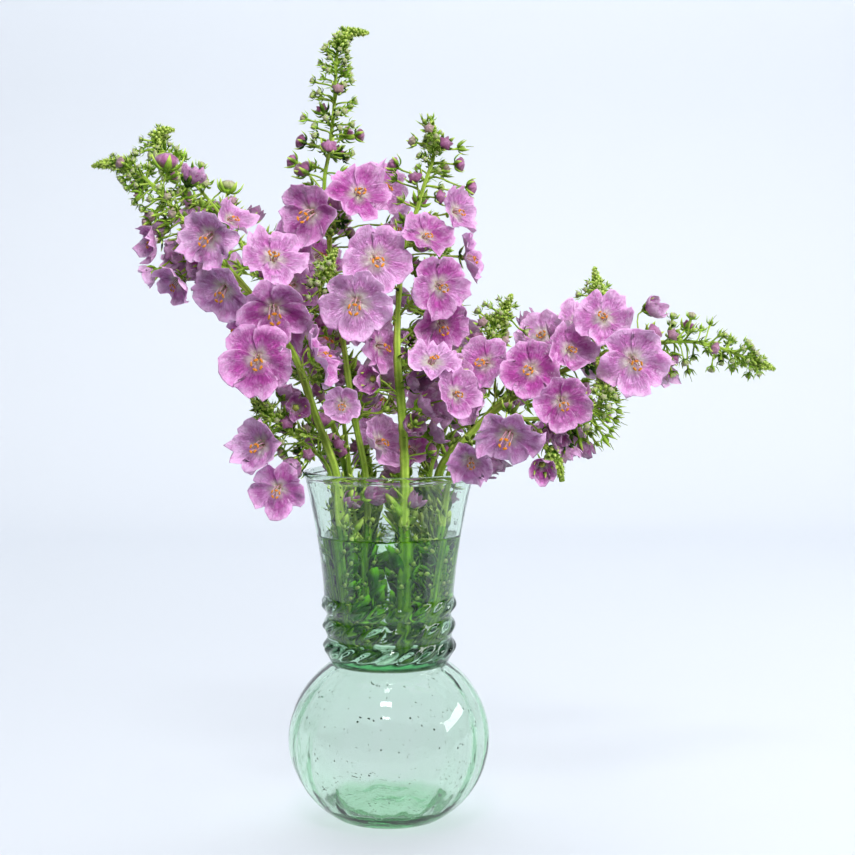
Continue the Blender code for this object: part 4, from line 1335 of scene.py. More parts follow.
def set_out(template: Array, places: Array, axes: Array, sizes: Array) -> Array:
    """Copies of a template at many places.

    Args:
        template: Grids of shape (parts, rows, columns, 3) in right, up and forward.
        places: Where each copy's origin goes.
        axes: Each copy's directions.
        sizes: Each copy's scale.

    Returns:
        Grids of shape (copies, parts, rows, columns, 3).
    """
    moved = np.einsum("prcx,nxd->nprcd", template, axes)
    return moved * sizes[:, None, None, None, None] + places[:, None, None, None]


def ball(rows: int, cols: int, stretch: Sequence = (1, 1, 1), middle: Sequence = (0, 0, 0),
         fold: float = 0.0) -> Array:
    """A ball with five folds: its radius is sin(pi s) times 1 + fold cos(5 angle).

    Args:
        rows: Rings from its foot to its top.
        cols: Points in a ring.
        stretch: Its radii to the right, up and forward.
        middle: Its centre.
        fold: How deep the folds are.

    Returns:
        One part, as set_out takes it.
    """
    s, angle = np.linspace(0.08, 0.92, rows)[:, None], round_angles(cols)
    radius = np.sin(math.pi * s) * (1 + fold * np.cos(LOBES * angle))
    grid = turned_grid(radius, angle, -np.cos(math.pi * s))
    return (grid * np.array(stretch) + np.array(middle))[None]


def star(base: Sequence, bend: Sequence, tip: Sequence, width: float, thick: float, rows: int,
         cols: int = 4, fold: float = 0.35, count: int = LOBES) -> Array:
    """Sepals round an axis, each a thin pointed blade along a bent line.

    The line is the curve with two end points and one control, each a distance from
    the axis and a height. Half the width is width sin(pi s^0.8)^0.7 and the edges
    rise by fold times the distance from the midrib.

    Args:
        base: Where a blade starts.
        bend: Its control point.
        tip: Where it ends.
        width: Half its width.
        thick: Half its thickness.
        rows: Rings along it.
        cols: Points round it.
        fold: The rise of its edges.
        count: How many blades.

    Returns:
        One part for each blade.
    """
    s = np.linspace(0.05, 0.98, rows)[:, None]
    base, bend, tip = (np.array(p, float) for p in (base, bend, tip))
    line = (1 - s)**2 * base + 2 * s * (1 - s) * bend + s**2 * tip
    course = units(2 * (1 - s) * (bend - base) + 2 * s * (tip - bend))
    half = width * np.sin(math.pi * s**0.8)**0.7
    phi = round_angles(cols)
    side = half * np.cos(phi)
    lift = thick * np.sin(phi) * (0.3 + half / width) + fold * np.abs(side)
    radial = line[:, :1] - course[:, 1:] * lift
    height = line[:, 1:] + course[:, :1] * lift
    angle = round_angles(count)[:, None, None] + math.pi / 2
    return np.stack([radial * np.cos(angle) - side * np.sin(angle),
                     radial * np.sin(angle) + side * np.cos(angle),
                     height + 0 * angle], axis=-1)


def balloon(rows: int, corner: int) -> Array:
    """A closed bud with five corners, blown out like a cushion and drawn to a low point.

    The radius is sin(pi s^0.85)^0.8 times 0.74 + 0.34 |cos(2.5 angle)|^3, and the
    corners stand a little forward.

    Args:
        rows: Rings from its foot to its top.
        corner: Points from one corner to the next.

    Returns:
        One part, as set_out takes it, with its corners at a radius of about one.
    """
    s, angle = np.linspace(0.1, 0.95, rows)[:, None], round_angles(corner * LOBES)
    point = np.abs(np.cos(0.5 * LOBES * angle))**3
    bulge = np.sin(math.pi * s**0.85)**0.8
    radius = bulge * (0.74 + 0.34 * point * np.sin(math.pi * s**0.8))
    height = -0.75 + 1.45 * s + 0.22 * point * bulge - 0.12 * (1 - point) * s
    return turned_grid(radius, angle, height)[None]


def rod(path: Array, radii: Array, cols: int, factor: float | Array = 1.0) -> Array:
    """A rod's grid: rings square to a path, each point at the radius times its factor."""
    rings = np.array(tube_rings(path, 1.0, cols, TUBE_GUIDE)) - path[:, None]
    return path[:, None] + rings * (radii[:, None] * factor)[..., None]


def stalk_grids(controls: Array, rows: int, cols: int, radius: float) -> Array:
    """Thin stalks, a little thicker where they leave the stem and under the head.

    Args:
        controls: Four control points for each stalk.
        rows: Rings along each.
        cols: Points round each.
        radius: The plain radius.

    Returns:
        One grid for each stalk.
    """
    t = np.linspace(0, 1, rows)[None, :, None]
    p0, p1, p2, p3 = (controls[:, None, k] for k in range(4))
    line = curve_through((p0, p1, p2, p3), t)
    course = units((1 - t)**2 * (p1 - p0) + 2 * (1 - t) * t * (p2 - p1) + t**2 * (p3 - p2))
    side = head_axes(units(controls[:, 3] - controls[:, 0]))[:, :1]
    first = units(side - course * (course * side).sum(axis=2, keepdims=True))
    share, second = t[..., 0], np.cross(course, first)
    radii = radius * (1 + 0.7 * np.exp(-(share / 0.07)**2) + 0.6 * np.exp(-((1 - share) / 0.1)**2))
    ring = around(round_angles(cols)[:, None], first[:, :, None], second[:, :, None])
    return line[:, :, None] + radii[..., None, None] * ring


@dataclass(frozen=True)
class Sheet:
    """How finely an open flower's petals are made, how they lap and how much they wave."""

    rows: int = 12
    each: int = 13
    wave: float = 1.7
    tube: float = 1.4
    lap: float = 0.27
    layer: float = 0.42
    joined: float = 0.78

    # Whether a petal lies over (1) or under (-1) its neighbours, left and right.
    OVER = np.array([[1, 1], [-1, 1], [-1, 1], [-1, -1], [1, -1]])

    def surface(self, bloom: Bloom, rho: Array, across: Array, lobe: Array) -> Array:
        """Points of the petals' front.

        A point lies a share rho of its petal's outline from the throat. The outline is
        1.03 - notch |across|^3.4 with a small dent in the middle and a ripple of a
        fortieth. The lean is the petal's own up to its side, where it meets its
        neighbour's. Lifts are added along the face: the throat's funnel, -tube
        exp(-(rho / 0.12)^2), a crease down the middle, waves round the flower that grow
        with the distance^1.8, the petal's own curl rho^4, and the layer that lays its
        side over or under the next petal.

        Args:
            bloom: The flower.
            rho: Shares of the radius, in a column.
            across: Places across the petal from -1 to 1, in a row.
            lobe: The petals' numbers, in a row.

        Returns:
            Points of shape (rows, columns, 3).
        """
        rng = np.random.default_rng(1000 + bloom.seed)
        phase = rng.uniform(0, 2 * math.pi, 7)
        notch, dent, curl = (rng.uniform(*ends, LOBES)[lobe]
                             for ends in ((0.22, 0.58), (-0.02, 0.06), (-4.2, 2.8)))
        near = np.clip(np.abs(across) / self.joined, 0, 1)
        size, lean, wave = lobe_between(bloom, lobe, across, 0.5 * near**3)
        lean = lean + wave * np.sin(math.pi * np.clip(across / self.joined, -1, 1))
        spread = smooth_step((rho - 0.2) / 0.35)
        theta = (lobe + 0.5 * across * (1 + self.lap * spread)) * 2 * math.pi / LOBES - math.pi / 2
        ripple = 0.03 * np.sin(13 * theta + phase[3]) + 0.02 * np.sin(27 * theta + phase[4])
        outline = size * (1.03 - notch * np.abs(across)**3.4 - dent * np.exp(-(across / 0.2)**2))
        reach = rho * bloom.size * (outline + ripple * rho**3)
        out = reach / bloom.size
        lift = (0.8 * np.sin(6 * theta + phase[0] + 2 * out)
                + 0.75 * np.sin(11 * theta + phase[1] + out) * out
                + 0.6 * np.sin(19 * theta + phase[2] + 3 * out) * out**2
                + 0.45 * np.sin(9 * out + 4 * theta + phase[5])
                + 0.35 * np.sin(31 * theta + phase[6] + 4 * out) * out**3) * self.wave * out**1.8
        lift = lift + curl * (1 - near**2) * rho**4
        lift = lift - 2.0 * np.exp(-(across / 0.2)**2) * rho * (1 - rho)
        over = self.OVER[lobe, (across > 0).astype(int)]
        lift = lift + self.layer * over * smooth_step((np.abs(across) - 0.45) / 0.4) * spread
        lift = bloom.size / 15.0 * lift - self.tube * np.exp(-(rho / 0.12)**2)
        return dish_points(bloom, theta, reach, lean * out, lift)

    def grid(self, bloom: Bloom) -> tuple[Array, Array, Array]:
        """The petals' back from the throat out, then their front from the edge in.

        A petal is wider than its fifth of the circle, so the sheet folds back between
        two petals. Each edge is thin: the side that is inside the fold ends sooner.

        Args:
            bloom: The flower.

        Returns:
            The grid, the UV values around in lobes, and those along: 0 to 1 on the
            back and 1 to 2 on the front.
        """
        s = np.linspace(0, 1, self.rows)[:, None]
        rho = 0.03 + 0.97 * (1 - (1 - s**1.25)**1.5)
        side = np.tile(np.sin(0.5 * math.pi * np.linspace(-1, 1, self.each)), LOBES)[None, :]
        lobe = np.repeat(np.arange(LOBES), self.each)[None, :]
        over = self.OVER[lobe, (side > 0).astype(int)]
        edge = 0.09 * side**8 * smooth_step((rho - 0.2) / 0.35)
        front, back = (self.surface(bloom, rho, side * (1 - edge * inside), lobe)
                       for inside in (over < 0, over > 0))
        thick = 0.1 + 0.16 * (1 - rho) + 0.25 * (1 - rho)**3
        back = back - (thick + 0 * side)[..., None] * bloom.face
        turn = (lobe + 0.5 * (0.97 * side + 1)).ravel()
        along = np.concatenate([rho[:, 0], 2 - rho[::-1, 0]])
        return np.vstack([back, front[::-1]]), np.concatenate([turn, [LOBES + turn[0]]]), along


def turned_by(axes: Array, angle: float) -> Array:
    """Heads' axes turned about their own direction."""
    right = around(angle, axes[:, 0], axes[:, 1])
    return np.stack([right, np.cross(axes[:, 2], right), axes[:, 2]], axis=1)


@dataclass
class Vase:
    """The blown glass: a ribbed ball, a waist, three roped rings and a flared neck."""

    cols: int = 136
    ribs: int = 18
    rib_depth: float = 0.15
    ropes: int = 20
    rope_slant: float = 0.045
    rope_depth: float = 0.42
    lip_bead: float = 1.5
    kick: float = 0.8
    wall: float = 3.4
    cup_glass: float = 2.0
    cup_bend: float = 6.5
    floor: float = 8.0
    bubbles: int = 170

    def waves(self, z: Array, turned: float = 0.0) -> Array:
        """The glass's unevenness: three slow waves up and round, under 0.2 mm each.

        Args:
            z: Heights.
            turned: What the waves are turned by, in radians.

        Returns:
            What to add to the radius at each height and column.
        """
        theta = round_angles(self.cols) + turned
        return (0.13 * np.sin(2 * theta + z / 19) + 0.09 * np.sin(3 * theta - z / 11 + 1.0)
                + 0.06 * np.sin(5 * theta + z / 6 + 2.0))

    def turn(self, radius: Array, z: Array) -> Array:
        """A turned grid from a radius for each height, or for each height and column."""
        radius = radius[:, None] if radius.ndim == 1 else radius
        return turned_grid(radius, round_angles(self.cols), z[:, None])

    def rope(self, z: Array) -> Array:
        """The angle of the ropes' waves at each height and column."""
        return self.ropes * (round_angles(self.cols) - self.rope_slant * (z - RING_Z))

    def outside(self, radius: Array, z: Array) -> Array:
        """The outer surface: the plain one with ribs, ropes and unevenness.

        Ribs are rib_depth cos(ribs (angle - z / 260)), strongest on the ball. Ropes are
        rope_depth cos(ropes (angle - slant z)) times the rings' height.

        Args:
            radius: Plain radii, one for each height.
            z: Heights.

        Returns:
            The grid.
        """
        up = z[:, None]
        ball = np.clip((60.0 - up) / 25.0, 0, 1) * np.clip(up / 10.0, 0, 1)
        neck = 0.45 * np.clip((up - 97.0) / 12.0, 0, 1) * np.clip((146.0 - up) / 20.0, 0, 1)
        turned = round_angles(self.cols) - up / 260.0
        rib = self.rib_depth * (ball + neck) * np.cos(self.ribs * turned)
        rope, rings = np.cos(self.rope(up)), ring_height(up) / RING_H
        rope = self.rope_depth * rings * np.sign(rope) * np.abs(rope)**0.7
        steady = np.clip(up / 8.0, 0, 1) * np.clip((RIM_Z - up) / 25.0, 0.15, 1)
        return self.turn(radius[:, None] + rib + rope + steady * self.waves(up), z)

    def inside(self, z: Array) -> Array:
        """The cup's radii: the plain ones with a faint echo of the rings and the ropes.

        Args:
            z: Heights.

        Returns:
            A radius for each height and column.
        """
        z = z[:, None]
        echo = ring_height(z) * (0.3 + 0.1 * np.cos(self.rope(z) + 0.6))
        steady = np.clip((RIM_Z - z) / 25.0, 0.15, 1)
        return inner_radius(z) + echo + 0.8 * steady * self.waves(z + 7, 0.4)

    def cup(self, grow: float) -> list[Array]:
        """The cup's rounded corner and its floor, from the wall to the middle.

        Args:
            grow: How far into the glass they lie.

        Returns:
            The two grids.
        """
        floor, bend = float(inner_radius(CUP_WALL_Z)), np.linspace(0.12, 1.0, 7) * math.pi / 2
        radius = floor + grow - self.cup_bend * (1 - np.cos(bend))
        z = CUP_FLOOR - grow + self.cup_bend * (1 - np.sin(bend))
        corner = self.turn(radius[:, None] + 0.2 * self.waves(z[:, None]), z)
        share = np.linspace(0.9, 0.02, 8)
        level = np.full(8, CUP_FLOOR - grow) - 0.25 * (1 - share**2)
        return [corner, self.turn((floor - self.cup_bend) * share, level)]

    def body(self) -> Array:
        """The glass from the foot's middle up the outside, over the lip and down the cup.

        Returns:
            The grid.
        """
        cut = math.asin(BALL_Z / BALL_HALF)
        share = np.linspace(0.03, 1.0, 10)
        foot = self.turn((float(BALL_R * math.cos(cut) - 1.2) - 2.0) * share,
                         self.kick * (1 - share**2))
        high = math.asin((64.5 - BALL_Z) / BALL_HALF)
        angle = np.linspace(-cut + 0.045, high, 56)
        ball = self.outside(BALL_R * np.cos(angle), BALL_Z + BALL_HALF * np.sin(angle))
        z = np.concatenate([np.linspace(66.2, 97.5, 92), np.linspace(98.5, 147.5, 30)])
        join = np.exp(-((z - 65.5) / 1.1)**2)
        plain = (neck_radius(z) + ring_height(z)) * (1 - join)
        neck = self.outside(plain + (BALL_R * math.cos(high) - 1.6) * join, z)
        bead = np.linspace(-0.2 * math.pi, 1.15 * math.pi, 12)
        middle = float(neck_radius(RIM_Z)) - NECK_WALL / 2
        lip = self.turn(middle + self.lip_bead * np.cos(bead),
                        RIM_Z - self.lip_bead + self.lip_bead * np.sin(bead))
        z = np.linspace(146.5, CUP_WALL_Z, 64)
        return np.vstack([foot, ball, neck, lip, self.turn(self.inside(z), z), *self.cup(0.0)])

    def cavity(self) -> Array:
        """The air in the ball, with ribs of its own out of step with the outer ones.

        The wall is wall thick at the sides and thinner towards the waist, and the roof
        lies a cup_glass below the water.

        Returns:
            The grid.
        """
        half = BALL_HALF - self.wall
        angle = np.linspace(-math.asin((BALL_Z - self.floor) / half), math.asin(30.5 / half), 50)
        thick = self.wall - 1.2 * np.clip(np.sin(angle), 0, 1)**3
        z = BALL_Z + half * np.sin(angle)
        radius, up = (BALL_R - thick) * np.cos(angle), z[:, None]
        fade = np.clip(np.cos(angle), 0, 1)[:, None]
        rib = 0.26 * fade * np.cos(self.ribs * (round_angles(self.cols) - up / 260.0) + 1.1)
        side = self.turn(radius[:, None] + rib + fade * self.waves(up + 31, 1.3), z)
        share = np.linspace(0.03, 0.95, 8)
        floor = self.turn(radius[0] * share, np.full(8, float(z[0])) + 1.6 * (1 - share**2))
        bend = np.linspace(0.1, 0.9, 7) * math.pi / 2
        top = CUP_FLOOR - self.cup_glass
        rise = top - float(z[-1])
        curve = self.turn(radius[-1] - rise * (1 - np.cos(bend)), z[-1] + rise * np.sin(bend))
        share = np.linspace(0.93, 0.03, 8)
        roof = self.turn((radius[-1] - rise) * share, np.full(8, top) - 0.15 * (1 - share**2))
        return np.vstack([floor, side, curve, roof])

    def seeds(self) -> tuple[Array, Array, Array]:
        """Places, axes and radii of the small bubbles inside the glass wall.

        Returns:
            The three, one row for each bubble.
        """
        rng = np.random.default_rng(7)
        in_ball = int(0.78 * self.bubbles)
        theta = rng.uniform(0, 2 * math.pi, self.bubbles)
        lift = np.arcsin(rng.uniform(-0.74, 0.7, in_ball))
        deep = rng.uniform(0.35, 0.65, in_ball) * BALL_WALL
        high = rng.uniform(100.0, 143.0, self.bubbles - in_ball)
        neck = neck_radius(high) - 0.5 * NECK_WALL
        radius = np.concatenate([(BALL_R - deep) * np.cos(lift), neck])
        z = np.concatenate([BALL_Z + (BALL_HALF - deep) * np.sin(lift), high])
        axes = head_axes(np.tile(UP, (self.bubbles, 1)), theta)
        sizes = 0.12 + 0.3 * rng.uniform(0, 1, self.bubbles)**3
        return turned_grid(radius, theta, z), axes, sizes

    def build(self, glass: bpy.types.Material) -> None:
        """Make the glass as one closed piece with its hollow and its bubbles.

        Args:
            glass: Its material.
        """
        shell = Shell()
        shell.add(self.body())
        shell.add(self.cavity(), inward=True)
        shell.add(set_out(ball(5, 6, (1, 1, 1.5)), *self.seeds()), inward=True)
        shell.make("vase_glass", [glass], ["vase"], "glass")


@dataclass
class Water:
    """The water in the neck: it wets the glass and climbs a little at its edge."""

    vase: Vase
    overlap: float = 0.12
    climb: float = 1.1
    reach: float = 1.5

    def build(self, look: bpy.types.Material) -> None:
        """Make the water from the cup's floor up the wall and in over the surface.

        The surface is the level plus climb exp(-distance from the wall / reach).

        Args:
            look: Its material.
        """
        z = np.linspace(CUP_WALL_Z, WATER_TOP + self.climb, 44)
        wall = self.vase.turn(self.vase.inside(z) + self.overlap, z)
        away = np.array([0.25, 0.6, 1.1, 1.8, 2.8, 4.5, 8.0, 14.0, 21.0, 27.0])
        edge = self.vase.inside(z[-1:]) + self.overlap
        surface = self.vase.turn(np.maximum(edge - away[:, None], 0.6),
                                 WATER_TOP + self.climb * np.exp(-away / self.reach))
        shell = Shell()
        shell.add(np.vstack([np.vstack(self.vase.cup(self.overlap))[::-1], wall, surface]))
        shell.make("water_body", [look], ["water"], "water")


@dataclass
class Fillers:
    """The small heads that stand closer on the real stems than on the solids."""

    bouquet: Bouquet
    bud_step: float = 2.6
    tight_step: float = 1.3
    small_step: float = 4.0
    neck_step: float = 3.2
    room: float = 0.15
    front: float = -0.35
    backs: tuple[float, ...] = (2.5, 5.0, 0.5, 8.0, 12.0)

    # What stands among the open flowers in turn, and its size.
    CYCLE = ((Kind.WITHERED, 7.5), (Kind.SPENT, 3.6), (Kind.HALF, 7.5), (Kind.SPENT, 3.3),
             (Kind.WITHERED, 6.0), (Kind.BUD, 3.8), (Kind.SPENT, 3.9))

    def put(self, name: str, spot: tuple[Array, Array], kind: Kind, size: float,
            anywhere: bool = True) -> None:
        """Set one head with little room round it, on bare stems not in front.

        Args:
            name: The stem.
            spot: Its place and face.
            kind: What it is.
            size: Its size.
            anywhere: Whether it may also stand in front of a stem that is bare there.
        """
        if anywhere or name not in BARE_FRONT or spot[1][1] > self.front:
            self.bouquet.place_small(name, *spot, kind, size, self.room, self.backs)

    def seen(self) -> None:
        """The heads that the photograph shows, each facing away from its stem."""
        kinds = {kind.name[0]: kind for kind in (Kind.BUD, Kind.SPENT, Kind.HALF, Kind.WITHERED)}
        for name, text in SHOW_SMALL.items():
            way = self.bouquet.ways[name]
            for row in text.split(","):
                letter, size, *place = row.split()
                place = np.array(place, float)
                above = min(way.nearest(place), way.length - 3.0)
                face = unit(unit(place - way.point(above)) + 0.3 * way.course(above))
                self.put(name, (place, face), kinds[letter], float(size))

    def among(self, name: str) -> None:
        """Buds from a stem's flowers to its tip, and small heads among the flowers.

        Args:
            name: The stem's name.
        """
        stem, spot = STEMS[name], self.bouquet.rule_place
        high, top = stem.flowers[1], self.bouquet.ways[name].length - stem.cone
        for index, above in enumerate(np.arange(high - 14.0, top + 1.0, self.bud_step)):
            share = min(1.0, max(0.0, (above - high) / max(1.0, top - high)))
            self.put(name, spot(name, above, index + 3, 10.5 - 4.5 * share, 0.4), Kind.BUD,
                     3.5 - 1.4 * share, False)
        for index, above in enumerate(np.arange(top - 12.0, top + 5.0, self.tight_step)):
            share = (above - top + 12.0) / 17.0
            self.put(name, spot(name, above, index, 6.2 - 2.2 * share, 0.6), Kind.BUD,
                     2.3 - 0.6 * share)
        for index, above in enumerate(np.arange(3.0, high, self.small_step)):
            reach = 9.0 + 7.0 * (GOLDEN_SHARE * index % 1.0)
            self.put(name, spot(name, above, index + 5, reach, 0.4),
                     *self.CYCLE[index % len(self.CYCLE)], False)

    def in_neck(self, name: str) -> None:
        """Calyces, young leaves and faded flowers on the stretch inside the neck.

        A head turns on round its stem until it stands free of the glass.

        Args:
            name: The stem.
        """
        way, room = self.bouquet.ways[name], self.bouquet.room
        first, second = square_to(UP, TUBE_GUIDE)
        for index, above in enumerate(np.arange(-way.rim + 3.0, 2.0, self.neck_step)):
            root = way.point(above)
            dry = root[2] > WATER_TOP + 4.0 and index % 3 == 0
            kind, size = (Kind.WITHERED, 5.5) if dry else (Kind.SPENT, 2.7)
            for attempt in range(7):
                out = around(GOLDEN * (index + 3 * attempt), first, second)
                face = unit(out + (1.3 - 0.2 * attempt) * UP)
                place = root + (7.0 + index % 3) * face
                if np.hypot(place[0], place[1]) + size > inner_radius(place[2]) - 1.0:
                    continue
                stalk = Stalk.grown(name, root, unit(out + 0.5 * UP), place - 0.5 * size * face,
                                    4, (kind, size, place, face))
                shape = stalk.shape(self.room)
                if room.free(shape, name):
                    room.add(shape, name)
                    self.bouquet.stalks.append(stalk)
                    break

    def fill(self) -> None:
        """Fill every stem."""
        self.seen()
        for name in STEMS:
            self.among(name)
            self.in_neck(name)


def soak_and_shade(mesh: bpy.types.Mesh) -> None:
    """Give the faces of skin and sepals in the water their wet looks, darker as painted shade.

    Args:
        mesh: A stem's mesh.
    """
    count = len(mesh.polygons)
    middle, look = np.empty(3 * count, np.float32), np.empty(count, np.int32)
    mesh.polygons.foreach_get("center", middle)
    mesh.polygons.foreach_get("material_index", look)
    under = (middle.reshape(-1, 3)[:, 2] < WATER_TOP * MM) & (look < SEPAL_LOOK + 1)
    mesh.polygons.foreach_set("material_index", look + WET_SHADED_LOOKS * under.astype(np.int32))


@dataclass
class Spray:
    """One stem: the ribbed rod, its stalks, calyces, bracts, hairs and cone of buds."""

    name: str
    bouquet: Bouquet
    looks: list[bpy.types.Material]
    cols: int = 15
    step: float = 1.6
    rib: float = 0.06
    stalk_r: float = 0.38
    hairs_per_mm: float = 2.2
    taper: float = 0.38
    leaf_step: float = 1.9
    leafy: float = 5.0
    shell: Shell = field(default_factory=Shell)

    # Sepals by kind: foot, bend and tip as distance and height, half the width, half
    # the thickness, and rings along one, all for a head of size one.
    CALYX = {
        Kind.OPEN: ((0.06, -0.22), (0.23, -0.21), (0.36, -0.1), 0.075, 0.012, 6),
        Kind.HALF: ((0.12, -0.48), (0.55, -0.42), (0.6, 0.3), 0.15, 0.03, 5),
        Kind.BUD: ((0.2, -0.62), (0.95, -0.7), (1.18, 0.42), 0.27, 0.06, 5),
        Kind.SPENT: ((0.15, -0.6), (0.8, -0.7), (1.15, 0.75), 0.26, 0.05, 5),
        Kind.WITHERED: ((0.12, -0.5), (0.55, -0.45), (0.66, 0.25), 0.15, 0.03, 5),
    }

    def rods(self, path: Array, radii: Array, roots: Array, tone: float) -> None:
        """Add a ribbed rod that swells at each stalk's root, and the hairs on it.

        The factor is 1 + rib cos(5 angle) + 0.05 cos(2 angle + s / 9), and the swelling
        at a root is 0.16 exp(-(distance / 1.6)^2).

        Args:
            path: The centre line.
            radii: Its radii.
            roots: Where stalks leave it.
            tone: Its tone.
        """
        angle, run = round_angles(self.cols), run_of(path)
        near = np.linalg.norm(path[:, None] - roots[None], axis=2)
        swell = 1 + 0.16 * np.exp(-(near / 1.6)**2).sum(axis=1).clip(0, 1)
        rib = 1 + self.rib * np.cos(LOBES * angle)
        rib = rib + 0.05 * np.cos(2 * angle + run[:, None] / 9)
        grid = rod(path, radii * swell, self.cols, rib)
        along = run / 10.0
        self.shell.add(grid, SKIN_LOOK, tone, along=along)
        rng = np.random.default_rng(len(path))
        count = int(self.hairs_per_mm * along[-1] * 10)
        row, col = rng.integers(1, len(path) - 1, count), rng.integers(0, self.cols, count)
        down = grid[row - 1, col] - grid[row, col]
        foot = grid[row, col] + rng.uniform(-0.5, 0.5, (count, 1)) * down
        out = units(foot - path[row]) + rng.uniform(-0.35, 0.35, (count, 3))
        above = foot[:, 2] > WATER_TOP
        length = rng.uniform(0.4, 1.0, (count, 1))
        self.shell.spikes(foot[above], (foot + length * out)[above], 0.045, DOWN_LOOK)

    def heads(self) -> None:
        """Add the calyces of every kind of head, with their small cups and pods."""
        for kind, blade in self.CALYX.items():
            heads = self.bouquet.heads(kind, self.name)
            if not heads:
                continue
            places, axes, sizes, tones = heads
            axes = turned_by(axes, 0.5 * math.pi / LOBES)
            age = 0.3 if kind in (Kind.SPENT, Kind.WITHERED) else 0.0
            for some, blades in ((sizes < FINE_FROM, star(*blade[:5], 3, 3)),
                                 (sizes >= FINE_FROM, star(*blade))):
                if some.any():
                    self.shell.add(set_out(blades, places[some], axes[some], sizes[some]),
                                   SEPAL_LOOK, np.repeat(tones[some], LOBES), age)
            far, low = blade[0]
            cup = 1.5 * far + 0.12 * (far > 0.1)
            parts = [(ball(3, 5, (cup, cup, cup), (0, 0, low + 0.5 * cup)), SEPAL_LOOK, 0.0)]
            if kind is Kind.SPENT:
                style = np.array([[0, 0, 0.5], [0.08, 0.04, 1.0], [0.25, 0.0, 1.5]])
                parts += [(ball(4, 6, (0.36, 0.36, 0.52), (0, 0, -0.15), 0.05), CONE_LOOK, 0.6),
                          (rod(style, np.array([0.06, 0.045, 0.04]), 4)[None], SEPAL_LOOK, 0.8)]
            for part, look, old in parts:
                self.shell.add(set_out(part, places, axes, sizes), look, tones, old)

    def bracts(self, stalks: list[Stalk]) -> None:
        """Add the small leaf under each stalk.

        Args:
            stalks: The stem's stalks.
        """
        roots = np.array([stalk.controls[0] for stalk in stalks])
        leave = np.array([unit(stalk.controls[1] - stalk.controls[0]) for stalk in stalks])
        rng = np.random.default_rng(len(stalks) + 5)
        leave = units(leave + rng.uniform(-0.3, 0.3, leave.shape) - 0.35 * UP)
        leaf = star((0.05, 0.12), (0.1, 0.6), (-0.12, 1.0), 0.17, 0.03, 5, 3, 0.3, 1)
        sizes = rng.uniform(3.8, 6.4, len(stalks))
        self.shell.add(set_out(leaf, roots, head_axes(leave), sizes), SEPAL_LOOK,
                       rng.uniform(0, 1, len(stalks)))

    def leaves(self, path: Array) -> None:
        """Add the leaves on the stretch inside the neck, each within the glass.

        Args:
            path: The stem's centre line.
        """
        z = np.arange(CUP_FLOOR + 3.0, RIM_Z - 14.0, self.leaf_step)
        rng = np.random.default_rng(int(1000 * abs(path[0, 0]) + 10 * abs(path[0, 1])))
        feet = points_at(path, path[:, 2], z)
        turn = np.arctan2(-feet[:, 1], self.leafy - feet[:, 0]) + rng.uniform(-1.9, 1.9, len(z))
        sizes = rng.uniform(9.0, 17.0, len(z))
        for _ in range(24):
            out = np.stack([np.cos(turn), np.sin(turn), rng.uniform(0.9, 2.2, len(z))], axis=1)
            out = units(out)
            tips = feet + sizes[:, None] * out
            over = np.hypot(tips[:, 0], tips[:, 1]) > inner_radius(tips[:, 2]) - 3.2
            if not over.any():
                break
            turn = np.where(over, turn + 0.7, turn)
        keep = ~over
        leaf = star((0.1, 0.1), (0.12, 0.5), (-0.05, 1.0), 0.25, 0.02, 6, 3, 0.3, 1)
        axes = head_axes(out[keep], rng.uniform(0, 6, keep.sum()))
        # Tones kept low so the leaves in the neck come out dark: painted shade.
        self.shell.add(set_out(leaf, feet[keep], axes, sizes[keep]), SEPAL_LOOK,
                       rng.uniform(0, 0.6, keep.sum()))

    def cone(self, path: Array, length: float) -> None:
        """Add a tip of young buds in narrow sepals, each a golden angle on from the last.

        A bud's distance from the axis is 0.35 + 2.1 (1 - s)^0.7 and its size falls from
        1.5 to 0.7 towards the tip, where the buds also point more along the stem.

        Args:
            path: The centre line that the tip ends.
            length: Its length.
        """
        run, count = run_of(path), int(length * 4.2)
        s = np.linspace(0.0, 1.0, count)
        station = run[-1] - (length + 1.0) * (1 - s**0.9) - 0.8
        line, ahead, back = (points_at(path, run, station + step) for step in (0, 1.0, -1.0))
        course = units(ahead - back)
        rng = np.random.default_rng(count)
        angle = (GOLDEN * np.arange(count) + rng.normal(0, 0.25, count))[:, None]
        out = around(angle, *head_axes(course).transpose(1, 0, 2)[:2])
        far = (0.35 + 2.1 * (1 - s)**0.7) * rng.uniform(0.8, 1.2, count)
        face = units(out + (0.55 + 1.5 * s + rng.normal(0, 0.2, count))[:, None] * course)
        places = line + far[:, None] * out + 0.4 * far[:, None] * course
        sizes = (1.5 - 0.8 * s) * rng.uniform(0.85, 1.15, count)
        own, tones = head_axes(face, rng.uniform(0, 6, count)), rng.uniform(0, 1, count)
        blades = star((0.25, -0.7), (0.95, -0.5), (0.85, 1.25), 0.36, 0.08, 3, 3, 0.35, 3)
        self.shell.add(set_out(blades, places, own, sizes), CONE_LOOK, np.repeat(tones, 3), 0.25)
        self.shell.add(set_out(ball(3, 5, (0.72, 0.72, 0.8), (0, 0, 0.1)), places, own, sizes),
                       CONE_LOOK, tones)
        leaf = star((0.1, -1.5), (0.2, -0.3), (-0.25, 1.4), 0.2, 0.05, 3, 3, 0.3, 1)
        low = places - 0.6 * sizes[:, None] * face - 0.4 * course
        self.shell.add(set_out(leaf, low, own, 1.25 * sizes), SEPAL_LOOK, tones)
        self.shell.add(rod(line[::5], 0.45 * far[::5] + 0.3, 8), CONE_LOOK, 0.2, 0.4)

